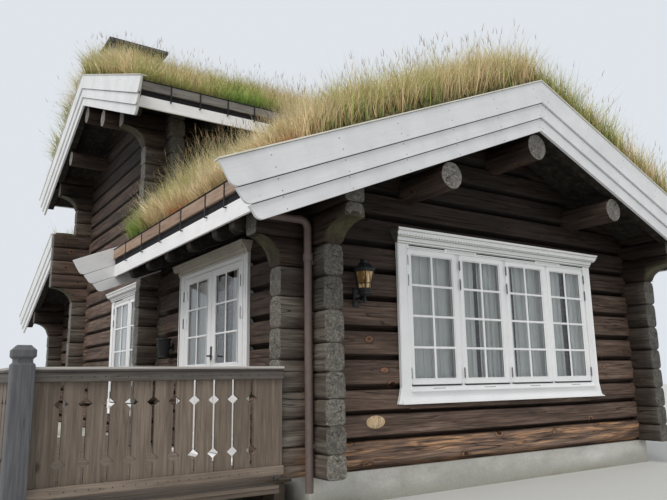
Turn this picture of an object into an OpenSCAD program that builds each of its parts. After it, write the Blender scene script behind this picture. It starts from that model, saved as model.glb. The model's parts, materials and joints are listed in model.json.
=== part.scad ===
/* [Logs] */
// Thickness of a wall log, over its rounded faces
log_t = 200; // [180:5:220]
// Height of one course of logs
course = 240; // [236:1:244]
// How far the log ends stand out past a corner
log_end = 250; // [200:10:280]
// Depth of the groove between two logs
groove = 26; // [10:2:40]

/* [House] */
// Height of the concrete plinth
plinth_h = 250; // [240:5:260]
// Width of the house over its side walls
house_w = 4680; // [4660:10:4760]
// Depth of the low front wing
wing_d = 3685; // [3660:5:3760]
// Depth of the tall block over its walls
tall_d = 4110; // [4080:10:4200]
// Depth of the lean-to behind the tall block
leanto_d = 1860; // [1820:10:1960]
// Courses of logs in the wing's side walls
wing_courses = 9.5; // [9.5:1:9.5]
// Height of the tall block's eave walls above the plinth
tall_h = 4359; // [4340:1:4380]
// Height of the lean-to's rear wall above the plinth
leanto_h = 2234; // [2220:1:2250]

/* [Roofs] */
// Slope of every roof, in degrees
pitch = 22.66; // [22:0.02:23.5]
// Boards and insulation of a roof, measured straight down
deck_v = 160; // [120:5:170]
// Rafters under the roof boards, measured straight down
rafter_v = 132; // [100:2:140]
// Width of a rafter
rafter_w = 100; // [60:5:120]
// From the wing's side walls out to its white eave board
wing_eave = 594; // [570:2:620]
// From the tall block's eave walls out to its white eave board
tall_eave = 676; // [650:2:700]
// From the lean-to's rear wall out to its white eave board
leanto_eave = 618; // [600:2:640]
// Gable overhang of the wing in front of its wall
wing_gable = 671; // [650:1:690]
// Gable overhang of the tall block at each side
tall_gable = 688; // [670:1:700]
// Gable overhang of the lean-to at each side
leanto_gable = 620; // [600:1:640]
// Height of a whole barge, across the slope
barge_h = 468; // [450:2:480]
// Thickness of a whole barge, front to back
barge_t = 71; // [60:1:80]
// Thickness of the turf, measured straight down
turf_v = 240; // [180:5:280]

/* [Purlins and chimney] */
// Radius of the ridge purlins
ridge_r = 137; // [120:1:145]
// Radius of the purlins at mid slope
purlin_r = 130; // [110:1:140]
// Distance of the wing's mid purlins from its ridge
wing_purlin_x = 1186; // [1150:2:1230]
// Distance of the tall block's mid purlins from its ridge
tall_purlin_y = 1030; // [1000:2:1060]
// Top of the chimney's cover slab
chimney_top = 7750; // [7200:10:7900]

/* [Windows and door] */
// Width of one glass of the front window
front_glass_w = 520; // [500:2:530]
// Width of one glass of a side window
side_glass_w = 640; // [620:2:650]
// Width of one leaf of the terrace door
leaf_w = 746; // [720:1:746]
// Gap between a leaf and what it closes on
leaf_gap = 8; // [7:1:10]

/* [Terrace] */
// Height of the terrace floor
deck_h = 220; // [160:5:230]
// Depth of the terrace along the house
deck_len = 5900; // [4200:50:6400]
// Top of the railing
rail_top = 1100; // [1000:5:1150]
// Distance from one railing slot to the next
slot_pitch = 149.6; // [145:0.2:150]

/* [Hidden] */

log_brown = "#3a2c24";
grey_white = "#d6d6d4";
turf_green = "#8f8a4e";
plank_brown = "#6b5443";
fence_grey = "#7d7167";

// Main planes: the origin is under the middle of the front wall's thickness, below the ridge
half = house_w / 2;
side_x = half - log_t / 2;
front_face = -log_t / 2;
cross_face = front_face + wing_d;
cross_y = cross_face + log_t / 2;
rear_face = cross_face + tall_d;
rear_y = rear_face - log_t / 2;
ridge_y = (cross_face + rear_face) / 2;
leanto_face = rear_face + leanto_d;
leanto_y = leanto_face - log_t / 2;
tall_half = tall_d / 2;
slope = tan(pitch);

// Underside of the roof boards at a distance u from the ridge
wing_top = plinth_h + wing_courses * course;
tall_top = plinth_h + tall_h;
leanto_top = plinth_h + leanto_h;
function wing_z(u) = wing_top + (half - abs(u)) * slope;
function tall_z(u) = tall_top + (tall_half - abs(u)) * slope;
function leanto_z(u) = leanto_top + (leanto_d - u) * slope;

// The walls end a hair below the roof boards
fit_gap = 1;
function wing_wall_z(u) = wing_z(u) - fit_gap;
function tall_wall_z(u) = tall_z(u) - fit_gap;
function leanto_wall_z(u) = leanto_z(u) - fit_gap;

// From the roof boards' underside up to the top edge of a barge
barge_rise = 373;
barge_tail = 497;
tall_barge_tail = 444;
eave_board_t = 25;
eave_board_h = 150;
membrane_h = 70;
plank_h = 120;
plank_t = 45;

// An outline given by its right half, from top to bottom, is closed by its mirror image
function both_sides(r) = concat(r, [for (i = [len(r) - 2:-1:1]) [-r[i][0], r[i][1]]]);
function mirrored(r) = [for (i = [len(r) - 1:-1:0]) [-r[i][0], r[i][1]]];

// A flat shape drawn as (x, z) and stretched along Y, and one drawn as (y, z) and stretched along X
module along_y(y0, y1) {
    translate([0, y1, 0]) rotate([90, 0, 0]) linear_extrude(y1 - y0) children();
}
module along_x(x0, x1) {
    translate([x0, 0, 0]) rotate([90, 0, 90]) linear_extrude(x1 - x0) children();
}
module rect(x0, x1, z0, z1) {
    translate([x0, z0]) square([x1 - x0, z1 - z0]);
}
module block(x0, x1, y0, y1, z0, z1) {
    translate([x0, y0, z0]) cube([x1 - x0, y1 - y0, z1 - z0]);
}
module left_and_right() {
    children();
    mirror([1, 0, 0]) children();
}

// The section of a log wall: every log is flat in the middle and rounds into the groove
log_face = [[0, groove], [0.1, 0.3 * groove], [0.3, 0], [0.7, 0], [0.9, 0.3 * groove]];
function course_z(k) = plinth_h + k * course;
function log_section(first, count) =
    let (side = concat(
        [for (k = [0:count - 1]) for (s = log_face) [log_t / 2 - s[1], course_z(first + k + s[0])]],
        [[log_t / 2 - groove, course_z(first + count)]]))
    concat(side, mirrored(side));

// Where two walls cross, each log keeps the middle half of its height
module crossing(u, first, count) {
    for (k = [0:count]) {
        rect(u - log_t / 2, u + log_t / 2, course_z(first + k), course_z(first + k + 0.5));
    }
}

// Log walls along X and along Y: the children draw the wall's elevation
roof_reach = 3500;
module log_wall_x(y, count, eave = false) {
    intersection() {
        along_x(-half - 800, half + 800) intersection() {
            translate([y, 0]) polygon(log_section(0, count));
            if (eave) children(1);
            else rect(y - log_t, y + log_t, 0, 9000);
        }
        along_y(y - log_t, y + log_t) children(0);
    }
}
module log_wall_y(x, count) {
    intersection() {
        along_y(front_face - 800, leanto_face + 800) intersection() {
            translate([x, 0]) polygon(log_section(-0.5, count + 1));
            under_wing_roof();
        }
        along_x(x - log_t, x + log_t) children();
    }
}
module under_wing_roof() {
    polygon(both_sides([[0, wing_wall_z(0)], [roof_reach, wing_wall_z(roof_reach)], [roof_reach, 0], [0, 0]]));
}
module under_tall_roof() {
    translate([ridge_y, 0]) {
        polygon(both_sides([[0, tall_wall_z(0)], [roof_reach, tall_wall_z(roof_reach)], [roof_reach, 0], [0, 0]]));
    }
}
module under_leanto_roof() {
    translate([rear_face, 0]) {
        polygon([[0, 0], [roof_reach, 0], [roof_reach, leanto_wall_z(roof_reach)], [0, leanto_wall_z(0)]]);
    }
}

// The cove under a log that stands out to carry the roof: from the log ends at z out to reach
cove_steps = 8;
function cove(reach, z) = [
    for (i = [0:cove_steps])
        let (a = 90 * i / cove_steps)
        [log_end + (reach - log_end) * (1 - cos(a)), z + course * sin(a)]
];
function cove_down(reach, z) =
    let (p = cove(reach, z)) [for (i = [cove_steps:-1:0]) [half + p[i][0], p[i][1]]];
eave_reach = 565;
stack_reach = 610;
front_reach = 470;

/* Walls */

window_side_margin = 168;
window_gap = 135;
opening_fit = 1;
front_window_x = 16;
front_window_half = window_side_margin + 2 * front_glass_w + 1.5 * window_gap;
side_window_half = window_side_margin + side_glass_w + 0.5 * window_gap;
front_glass_z = [983, 2120];
side_glass_z = [760, 2120];
side_window_y = cross_face + 1200;
casing_w = 110;
sash_rail_low = 78;
sash_rail_high = 48;
function frame_half(h) = h - casing_w;

door_y = 1789;
door_frame_half = leaf_w + leaf_gap / 2 + 50;
door_top = 2150;
door_head = door_top + 50;
inner_door = [-450, 450];
inner_door_top = 2350;
store_door = [300, 1200];
store_door_top = 2170;

module window_hole(c, h, gz) {
    rect(c - frame_half(h) - opening_fit, c + frame_half(h) + opening_fit,
        gz[0] - sash_rail_low - 43, gz[1] + sash_rail_high + 3);
}

function wing_ridge_z() = wing_z(0) - rafter_v - ridge_r / cos(pitch) - fit_gap;
function wing_purlin_z() = wing_z(wing_purlin_x) - rafter_v - purlin_r / cos(pitch) - fit_gap;
function tall_ridge_z() = tall_z(0) - rafter_v - ridge_r / cos(pitch) - fit_gap;
function tall_purlin_z() = tall_z(tall_purlin_y) - rafter_v - purlin_r / cos(pitch) - fit_gap;

module wing_purlin_circles(extra = 0) {
    translate([0, wing_ridge_z()]) circle(ridge_r + extra, $fn = 64);
    for (x = [-wing_purlin_x, wing_purlin_x]) {
        translate([x, wing_purlin_z()]) circle(purlin_r + extra, $fn = 64);
    }
}
module tall_purlin_circles(extra = 0) {
    translate([ridge_y, tall_ridge_z()]) circle(ridge_r + extra, $fn = 64);
    for (y = [-tall_purlin_y, tall_purlin_y]) {
        translate([ridge_y + y, tall_purlin_z()]) circle(purlin_r + extra, $fn = 64);
    }
}

module front_wall() {
    reach = half + front_reach;
    color(log_brown) log_wall_x(0, 14) difference() {
        polygon(both_sides(concat(
            [[0, wing_wall_z(0)], [reach, wing_wall_z(reach)]], cove_down(front_reach, course_z(7)),
            [[half + log_end, plinth_h], [0, plinth_h]])));
        for (x = [-side_x, side_x]) crossing(x, -0.25, 10);
        window_hole(front_window_x, front_window_half, front_glass_z);
        wing_purlin_circles(fit_gap);
    }
}

// The wing's side wall from y0 to y1; it starts at the front with log ends and a cove
function wing_side_outline(y1) = concat(
    [[y1, plinth_h], [front_face - log_end, plinth_h]],
    [for (p = cove(eave_reach, course_z(wing_courses - 2))) [front_face - p[0], p[1]]],
    [[front_face - eave_reach, wing_top + course], [y1, wing_top + course]]
);
module wing_side_front(x, y1) {
    log_wall_y(x, 11) difference() {
        polygon(wing_side_outline(y1));
        crossing(0, 0.25, 9);
    }
}
module wing_left_wall_near() {
    color(log_brown) wing_side_front(-side_x, door_y - door_frame_half - opening_fit);
}
module wing_left_wall_far() {
    color(log_brown) log_wall_y(-side_x, 11) {
        rect(door_y + door_frame_half + opening_fit, cross_face, plinth_h, wing_top + course);
    }
}
module wing_left_wall_over_door() {
    color(log_brown) log_wall_y(-side_x, 11) {
        rect(door_y - door_frame_half - opening_fit, door_y + door_frame_half + opening_fit,
            door_head + opening_fit, wing_top + course);
    }
}
module wing_right_wall() {
    color(log_brown) wing_side_front(side_x, cross_face);
}

// Eave wall of the tall block; with_stack adds the four longer logs that carry the lean-to's barge
function tall_eave_side(with_stack) = concat(
    [[0, tall_top + course], [half + eave_reach, tall_top + course]],
    cove_down(eave_reach, course_z(16)),
    with_stack ? [[half + log_end, course_z(14)], [half + stack_reach, course_z(14)]] : [],
    with_stack ? cove_down(stack_reach, course_z(9)) : [],
    [[half + log_end, plinth_h], [0, plinth_h]]
);
module tall_eave_wall(y, door, door_z, with_stack) {
    log_wall_x(y, 20, true) {
        difference() {
            polygon(both_sides(tall_eave_side(with_stack)));
            for (x = [-side_x, side_x]) crossing(x, -0.25, 20);
            rect(door[0], door[1], plinth_h, door_z);
        }
        under_tall_roof();
    }
}
module cross_wall() {
    color(log_brown) difference() {
        tall_eave_wall(cross_y, inner_door, inner_door_top, false);
        along_y(cross_face - 1, cross_y) wing_purlin_circles(fit_gap);
    }
}
module tall_rear_wall() {
    color(log_brown) tall_eave_wall(rear_y, store_door, store_door_top, true);
}

// Gable wall of the tall block: its log ends stand out above the lower roofs
front_ends_z = course_z(11.5);
rear_ends_z = course_z(14.5);
module tall_gable_outline() {
    y0 = cross_face - log_end;
    y1 = rear_face + log_end;
    polygon([
        [cross_face, plinth_h], [cross_face, front_ends_z], [y0, front_ends_z],
        [y0, tall_wall_z(y0 - ridge_y)], [ridge_y, tall_wall_z(0)], [y1, tall_wall_z(y1 - ridge_y)],
        [y1, rear_ends_z], [rear_face, rear_ends_z], [rear_face, plinth_h]
    ]);
}
module tall_gable_wall(x) {
    intersection() {
        along_y(front_face, leanto_face) translate([x, 0]) polygon(log_section(-0.5, 23));
        along_x(x - log_t, x + log_t) difference() {
            tall_gable_outline();
            for (y = [cross_y, rear_y]) crossing(y, 0.25, 19);
            window_hole(side_window_y, side_window_half, side_glass_z);
            tall_purlin_circles(fit_gap);
        }
    }
}
module tall_left_wall() {
    color(log_brown) tall_gable_wall(-side_x);
}
module tall_right_wall() {
    color(log_brown) tall_gable_wall(side_x);
}

module leanto_side_walls() {
    y1 = leanto_face + log_end;
    color(log_brown) for (x = [-side_x, side_x]) {
        intersection() {
            along_y(front_face, y1) translate([x, 0]) polygon(log_section(-0.5, 16));
            along_x(x - log_t, x + log_t) difference() {
                polygon([[rear_face, plinth_h], [rear_face, leanto_wall_z(0)],
                    [y1, leanto_wall_z(y1 - rear_face)], [y1, plinth_h]]);
                crossing(leanto_y, 0.25, 10);
            }
        }
    }
}
leanto_reach = 540;
function leanto_rear_side() = concat(
    [[0, leanto_top + course], [half + leanto_reach, leanto_top + course]],
    cove_down(leanto_reach, course_z(7)),
    [[half + log_end, plinth_h], [0, plinth_h]]
);
module leanto_rear_wall() {
    color(log_brown) log_wall_x(leanto_y, 10, true) {
        difference() {
            polygon(both_sides(leanto_rear_side()));
            for (x = [-side_x, side_x]) crossing(x, -0.25, 10);
        }
        under_leanto_roof();
    }
}

/* Foundation and floor */

slab_h = 170;
floor_top = 270;
plinth_in = 30;
ledge = 60;
chimney_x = [-2050, -1050];
chimney_y = [rear_face + 65, rear_face + 585];
chimney_clear = 6;

module room_plans(margin) {
    x = half - log_t - margin;
    for (r = [[log_t / 2, cross_face], [cross_face + log_t, rear_face - log_t], [rear_face, leanto_face - log_t]]) {
        translate([-x, r[0] + margin]) square([2 * x, r[1] - r[0] - 2 * margin]);
    }
}
module doorway_plans(margin) {
    translate([inner_door[0], cross_face - margin]) {
        square([inner_door[1] - inner_door[0], log_t + 2 * margin]);
    }
    translate([store_door[0], rear_face - log_t - margin]) {
        square([store_door[1] - store_door[0], log_t + 2 * margin]);
    }
}
module foundation() {
    x = half - plinth_in;
    color("silver") difference() {
        block(-x, x, front_face + plinth_in, leanto_face - plinth_in, 0, plinth_h);
        translate([0, 0, slab_h]) linear_extrude(plinth_h) {
            room_plans(2);
        }
        translate([0, 0, slab_h]) linear_extrude(plinth_h) {
            doorway_plans(5);
        }
    }
}
module floor() {
    color("peru") difference() {
        block(-half + log_t + 2, half - log_t - 2, log_t / 2 + 2, leanto_face - log_t - 2, slab_h, floor_top);
        for (s = [[cross_face, inner_door], [rear_face - log_t, store_door]]) {
            block(-half, s[1][0], s[0] - 2, s[0] + log_t + 2, 0, plinth_h + course);
            block(s[1][1], half, s[0] - 2, s[0] + log_t + 2, 0, plinth_h + course);
        }
        chimney_shaft(chimney_clear);
    }
}
module chimney_shaft(extra) {
    block(chimney_x[0] - extra, chimney_x[1] + extra, chimney_y[0] - extra, chimney_y[1] + extra,
        slab_h - extra, chimney_top);
}

/* Purlins */

purlin_back = 110;
module wing_purlins() {
    color(log_brown) along_y(front_face - wing_gable + purlin_back, cross_y) wing_purlin_circles();
}
module tall_purlins() {
    reach = half + tall_gable - purlin_back;
    color(log_brown) along_x(-reach, reach) tall_purlin_circles();
}

/* Roof boards with their rafters */

// One slope drawn as (u, z), from its top edge at u0 out to the eave board
module slope_boards(z0, out) {
    polygon([[0, z0], [out, z0 - out * slope], [out, z0 - out * slope + deck_v], [0, z0 + deck_v]]);
}
// One rafter: it stops at the wall, and its tail outside has a round lower corner
rafter_round = 90;
function tail_end(z0, out) = [
    for (i = [0:4])
        let (a = 22.5 * i)
        [out - rafter_round * (1 - cos(a)),
            z0 - out * slope - rafter_v + rafter_round * (1 - sin(a)) + rafter_round * (1 - cos(a)) * slope]
];
module rafter(z0, wall, out) {
    w0 = wall - log_t - fit_gap;
    w1 = wall + fit_gap;
    polygon([[0, z0 - rafter_v], [w0, z0 - w0 * slope - rafter_v], [w0, z0 - w0 * slope + 5], [0, z0 + 5]]);
    polygon(concat(
        [[w1, z0 - w1 * slope - rafter_v], [w1, z0 - w1 * slope + 5], [out, z0 - out * slope + 5]],
        tail_end(z0, out)));
}

wing_out = half + wing_eave - eave_board_t;
tall_out = tall_half + tall_eave - eave_board_t;
leanto_out = leanto_d + leanto_eave - eave_board_t;
rear_barge_y = cross_face - 75;
wing_rafters = concat([front_face - wing_gable + barge_t, -front_face + 5], [for (k = [0:4]) 455 + 600 * k]);

module wing_slope() {
    y0 = front_face - wing_gable + barge_t;
    along_y(y0, rear_barge_y) slope_boards(wing_z(0), wing_out);
    along_y(rear_barge_y - 5, cross_face) slope_boards(wing_z(0), half - 5);
    for (y = wing_rafters) along_y(y, y + rafter_w) rafter(wing_z(0), half, wing_out);
}
module wing_roof_right() {
    color(log_brown) wing_slope();
}
module wing_roof_left() {
    color(log_brown) mirror([1, 0, 0]) wing_slope();
}

gable_x = half + tall_gable - barge_t;
tall_rafters = concat([-gable_x, gable_x - rafter_w], [for (k = [-3:3]) 600 * k - rafter_w / 2]);
module tall_slope() {
    along_x(-gable_x, gable_x) slope_boards(tall_z(0), tall_out);
    for (x = tall_rafters) along_x(x, x + rafter_w) rafter(tall_z(0), tall_half, tall_out);
}
module tall_roof_rear() {
    color(log_brown) difference() {
        translate([0, ridge_y, 0]) tall_slope();
        chimney_shaft(chimney_clear);
    }
}
module tall_roof_front() {
    color(log_brown) translate([0, ridge_y, 0]) mirror([0, 1, 0]) tall_slope();
}

leanto_x = half + leanto_gable - barge_t;
module leanto_roof() {
    color(log_brown) difference() {
        translate([0, rear_face, 0]) {
            along_x(-leanto_x, leanto_x) slope_boards(leanto_z(0), leanto_out);
            for (x = concat([-leanto_x, leanto_x - rafter_w], [for (k = [-3:3]) 600 * k - rafter_w / 2])) {
                along_x(x, x + rafter_w) rafter(leanto_z(0), leanto_d, leanto_out);
            }
        }
        chimney_shaft(chimney_clear);
    }
}

/* Turf */

// Half section of the turf: bottom on the boards, top crowned and thinner at the eave
function turf_half(z0, out) =
    let (b = z0 + deck_v + fit_gap)
    [
        [0, b + turf_v], [0.25 * out, b - 0.25 * out * slope + turf_v + 30],
        [0.5 * out, b - 0.5 * out * slope + turf_v + 30], [0.8 * out, b - 0.8 * out * slope + turf_v],
        [out, b - out * slope + turf_v - 70], [out, b - out * slope], [0, b]
    ];
module wing_turf() {
    color(turf_green) difference() {
        union() {
            along_y(front_face - wing_gable + barge_t, rear_barge_y) {
                polygon(both_sides(turf_half(wing_z(0), wing_out)));
            }
            along_y(rear_barge_y - 5, cross_face) intersection() {
                polygon(both_sides(turf_half(wing_z(0), wing_out)));
                rect(-half + 5, half - 5, 0, 9000);
            }
        }
        left_and_right() {
            block(half - log_t - 5, half + 5, cross_face - log_end - 5, cross_face + 5, front_ends_z - 5, 5000);
        }
    }
}
module tall_turf() {
    color(turf_green) difference() {
        along_x(-gable_x, gable_x) translate([ridge_y, 0]) {
            polygon(both_sides(turf_half(tall_z(0), tall_out)));
        }
        chimney_shaft(chimney_clear);
    }
}
module leanto_turf() {
    color(turf_green) difference() {
        along_x(-leanto_x, leanto_x) translate([rear_face, 0]) {
            polygon(turf_half(leanto_z(0), leanto_out));
        }
        chimney_shaft(chimney_clear);
    }
}

/* Barge boards */

// Steps down the slope: a point s along it and n below its top edge, from the top at z0
function on_slope(z0, s, n) = [s * cos(pitch) - n * sin(pitch), z0 - s * sin(pitch) - n * cos(pitch)];
barge_round = 60;
barge_back = 60;
barge_step = 20;
barge_lap = 4;
// The three boards' edges below the top edge: a wide board over two narrower ones
barge_n = [0, 0.438 * barge_h, 0.733 * barge_h, barge_h];
function barge_half(z0, tip, i) =
    let (s1 = tip / cos(pitch) - barge_back * i, n0 = barge_n[i] - (i > 0 ? barge_lap : 0), n1 = barge_n[i + 1])
    concat(
        [[0, z0 - n0 / cos(pitch)], on_slope(z0, s1, n0)],
        [for (j = [0:4]) let (a = 22.5 * j)
            on_slope(z0, s1 - 20 - barge_round * (1 - cos(a)), n1 - barge_round * (1 - sin(a)))],
        [[0, z0 - n1 / cos(pitch)]]);

wing_tip = half + wing_eave + barge_tail;
tall_tip = tall_half + tall_eave + tall_barge_tail;
leanto_tip = leanto_d + leanto_eave + barge_tail;
module wing_barge_boards() {
    color(grey_white) {
        z0 = wing_z(0) + barge_rise;
        y0 = front_face - wing_gable;
        union() for (i = [0:2]) {
            along_y(y0 + barge_step * i, y0 + barge_t) polygon(both_sides(barge_half(z0, wing_tip, i)));
        }
        left_and_right() along_y(rear_barge_y, rear_barge_y + 30) intersection() {
            polygon(concat(
                [[0, z0]], [for (i = [0:2]) each rear_barge_edge(z0, i)], [[0, z0 - barge_h / cos(pitch)]]));
            rect(half + 5, 4000, 0, 9000);
        }
    }
}
function rear_barge_edge(z0, i) =
    let (s1 = wing_tip / cos(pitch) - barge_back * i, n0 = barge_n[i], n1 = barge_n[i + 1])
    concat(
        i == 0 ? [on_slope(z0, s1, 0)] : [on_slope(z0, s1, n0 + 1)],
        [for (j = [0:4]) let (a = 22.5 * j)
            on_slope(z0, s1 - 20 - barge_round * (1 - cos(a)), n1 - barge_round * (1 - sin(a)))]);
module tall_barge_boards() {
    z0 = tall_z(0) + barge_rise;
    x0 = half + tall_gable;
    color(grey_white) left_and_right() union() for (i = [0:2]) {
        along_x(x0 - barge_t, x0 - barge_step * i) translate([ridge_y, 0]) {
            polygon(both_sides(barge_half(z0, tall_tip, i)));
        }
    }
}
module leanto_barge_boards() {
    z0 = leanto_z(0) + barge_rise;
    x0 = half + leanto_gable;
    color(grey_white) left_and_right() union() for (i = [0:2]) {
        along_x(x0 - barge_t, x0 - barge_step * i) translate([rear_face + 1, 0]) {
            polygon(barge_half(z0, leanto_tip - 1, i));
        }
    }
}

/* Eave boards and the planks that hold the turf */

module eave_board(out, z) {
    rect(out, out + eave_board_t, z, z + eave_board_h);
}
module turf_plank(out, z) {
    polygon([
        [out, z], [out + eave_board_t, z], [out + eave_board_t, z + membrane_h],
        [out + plank_t, z + membrane_h], [out + plank_t, z + membrane_h + plank_h], [out, z + membrane_h + plank_h]
    ]);
}
module each_eave(wing, tall, leanto) {
    left_and_right() {
        along_y(front_face - wing_gable + barge_t, rear_barge_y) children(0);
    }
    for (m = [0, 1]) {
        translate([0, ridge_y, 0]) mirror([0, m, 0]) along_x(-gable_x, gable_x) children(1);
    }
    translate([0, rear_face, 0]) along_x(-leanto_x, leanto_x) children(2);
}
eave_drop = 15;
wing_eave_z = wing_z(wing_out) - eave_drop;
tall_eave_z = tall_z(tall_out) - eave_drop;
leanto_eave_z = leanto_z(leanto_out) - eave_drop;
module eave_boards() {
    color(grey_white) each_eave() {
        eave_board(wing_out, wing_eave_z);
        eave_board(tall_out, tall_eave_z);
        eave_board(leanto_out, leanto_eave_z);
    }
}
module turf_planks() {
    color(plank_brown) each_eave() {
        turf_plank(wing_out, wing_eave_z + eave_board_h);
        turf_plank(tall_out, tall_eave_z + eave_board_h);
        turf_plank(leanto_out, leanto_eave_z + eave_board_h);
    }
}

/* Chimney */

cap_over = 100;
cap_t = 60;
cap_gap = 140;
module chimney_stack() {
    color("slategray") {
        block(chimney_x[0], chimney_x[1], chimney_y[0], chimney_y[1], slab_h, chimney_top - cap_t - cap_gap);
    }
}
module chimney_cap() {
    z = chimney_top - cap_t;
    leg = 140;
    color("dimgray") {
        block(chimney_x[0] - cap_over, chimney_x[1] + cap_over, chimney_y[0] - cap_over, chimney_y[1] + cap_over,
            z, chimney_top);
        for (x = [chimney_x[0], chimney_x[1] - leg]) {
            for (y = [chimney_y[0], chimney_y[1] - leg]) block(x, x + leg, y, y + leg, z - cap_gap, z + 5);
        }
    }
}

/* Windows: drawn with the wall's outer face at y = 0 and the outside towards -y */

casing_t = 30;
sash_y = [-18, 38];
sash_rim = 47;
mullion_y = -4;
glass_y = [0, 20];
jamb_t = 25;

module glass_rects(h, w, count, gz, rim = 0) {
    for (k = [0:count - 1]) {
        x = -h + window_side_margin + k * (w + window_gap);
        rect(x - rim, x + w + rim, gz[0] - rim, gz[1] + rim);
    }
}
// A moulding from x0 to x1 whose profile, [how far out, z] from its foot up or its top down, returns at both ends
end_share = 0.55;
module moulding(x0, x1, steps) {
    n = len(steps);
    low = steps[0][1];
    high = steps[n - 1][1];
    intersection() {
        along_x(x0 - 200, x1 + 200) polygon(concat([[0, low]], [for (p = steps) [-p[0], p[1]]], [[0, high]]));
        along_y(-200, 0) polygon(concat(
            [for (p = steps) [x1 + (p[0] - casing_t) * end_share, p[1]]],
            [for (i = [n - 1:-1:0]) [x0 - (steps[i][0] - casing_t) * end_share, steps[i][1]]]));
    }
}
cornice_steps = [
    [36, 0], [46, 26], [62, 46], [88, 74], [112, 88], [112, 106], [122, 110], [122, 122], [40, 136]
];
sill_steps = [[casing_t, 0], [33, 45], [42, 70], [60, 90], [75, 98], [75, 103]];
module cornice(x0, x1, z, scale_z) {
    moulding(x0, x1, [for (p = cornice_steps) [p[0], z + p[1] * scale_z]]);
}
module window_frame(h, w, count, gz) {
    in_x = frame_half(h);
    z0 = gz[0] - sash_rail_low;
    z1 = gz[1] + sash_rail_high;
    top = gz[1] + 94;
    low = gz[0] - 109;
    along_y(-casing_t, 0) difference() {
        rect(-h, h, low, top);
        rect(-in_x, in_x, z0, z1);
    }
    along_y(mullion_y, sash_y[1]) difference() {
        rect(-in_x, in_x, z0 - 2, z1 + 2);
        glass_rects(h, w, count, gz);
    }
    along_y(sash_y[0], mullion_y + 5) difference() {
        glass_rects(h, w, count, gz, sash_rim);
        glass_rects(h, w, count, gz);
    }
    along_y(-5, log_t - 15) difference() {
        rect(-in_x, in_x, z0 - 42, z1 + 2);
        rect(-in_x + jamb_t, in_x - jamb_t, z0 - 42 + jamb_t, z1 + 2 - jamb_t);
    }
    cornice(-h, h, top, 1);
    moulding(-h, h, [for (p = sill_steps) [p[0], low - p[1]]]);
}
module front_window() {
    color("white") translate([front_window_x, front_face, 0]) {
        window_frame(front_window_half, front_glass_w, 4, front_glass_z);
    }
}
module on_side_walls() {
    left_and_right() translate([-half, side_window_y, 0]) rotate(-90) children();
}
module side_windows() {
    color("white") on_side_walls() window_frame(side_window_half, side_glass_w, 2, side_glass_z);
}
module window_glass() {
    color("lightblue", 0.4) {
        translate([front_window_x, front_face, 0]) along_y(glass_y[0], glass_y[1]) {
            glass_rects(front_window_half, front_glass_w, 4, front_glass_z);
        }
        on_side_walls() along_y(glass_y[0], glass_y[1]) {
            glass_rects(side_window_half, side_glass_w, 2, side_glass_z);
        }
    }
}

/* Terrace door */

leaf_t = 45;
leaf_low = 295;
leaf_outer = leaf_gap / 2 + leaf_w;
stile = 98;
leaf_glass_z = [1165, 2088];
hinge_x = leaf_outer + 3;
hinge_out = 8;
knuckle_r = 6;
knuckle_h = 115;
door_casing = [-915, 845];

module at_door() {
    translate([-half, door_y, 0]) rotate(-90) children();
}
module door_frame() {
    in_x = leaf_outer + 6;
    in_z = door_top + 6;
    top = door_head + 10;
    color("white") at_door() {
        along_y(-casing_t, 0) difference() {
            rect(door_casing[0], door_casing[1], plinth_h, top);
            rect(-in_x, in_x, plinth_h + 37, in_z);
        }
        along_y(-5, log_t - 15) difference() {
            rect(-door_frame_half, door_frame_half, plinth_h, door_head);
            rect(-in_x, in_x, plinth_h + 37, in_z);
        }
        cornice(door_casing[0], door_casing[1], top, 0.92);
    }
}
// A leaf from its meeting edge to its hinge, with the glass let in and a sunk panel below
module leaf() {
    x0 = leaf_gap / 2;
    difference() {
        along_y(-casing_t, leaf_t - casing_t) difference() {
            rect(x0, leaf_outer, leaf_low, door_top);
            rect(x0 + stile, leaf_outer - stile, leaf_glass_z[0], leaf_glass_z[1]);
        }
        for (y = [-casing_t - 1, leaf_t - casing_t - 8]) {
            block(x0 + stile, leaf_outer - stile, y, y + 9, leaf_low + 140, leaf_glass_z[0] - stile);
        }
    }
    for (z = [450, 1585, 1895]) {
        translate([hinge_x, -casing_t - hinge_out, z]) cylinder(h = knuckle_h, r = knuckle_r, $fn = 32);
        block(hinge_x - 60, hinge_x, -casing_t - hinge_out - 2, -casing_t - hinge_out + 2, z, z + knuckle_h);
        block(hinge_x - 60, hinge_x - 20, -casing_t - hinge_out - 2, -casing_t + 2, z, z + knuckle_h);
    }
}
module leaf_glass() {
    along_y(-16, 4) {
        rect(leaf_gap / 2 + stile, leaf_outer - stile, leaf_glass_z[0], leaf_glass_z[1]);
    }
}
module door_leaf_near() {
    color("white") at_door() leaf();
}
module door_leaf_far() {
    color("white") at_door() mirror([1, 0, 0]) leaf();
}
module door_glass_near() {
    color("lightblue", 0.4) at_door() leaf_glass();
}
module door_glass_far() {
    color("lightblue", 0.4) at_door() mirror([1, 0, 0]) leaf_glass();
}
module door_handle() {
    x = leaf_gap / 2 + 48;
    y = -casing_t;
    lever_z = 1250;
    color("black") at_door() {
        block(x - 18, x + 18, y - 8, y, 1205, 1350);
        translate([x, y, lever_z]) rotate([90, 0, 0]) cylinder(h = 55, r = 9, $fn = 32);
        translate([x - 9, y - 45, lever_z]) rotate([0, 90, 0]) cylinder(h = 125, r = 9, $fn = 32);
    }
}

/* Terrace */

deck_x = [-4510, -half - 5];
deck_y = front_face + 5;
deck_t = 60;
rail_y = front_face - 25;
board_t = 25;
rail_t = 30;
post_w = 134;
post_x = -4441;
post_y = rail_y - 15;
slot_low = 373;
slot_high = 1010;
slot_w = 18;
diamond_w = 92;
diamond_h = 80;
diamond_z = [493, 864];
board_low = 300;

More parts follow.
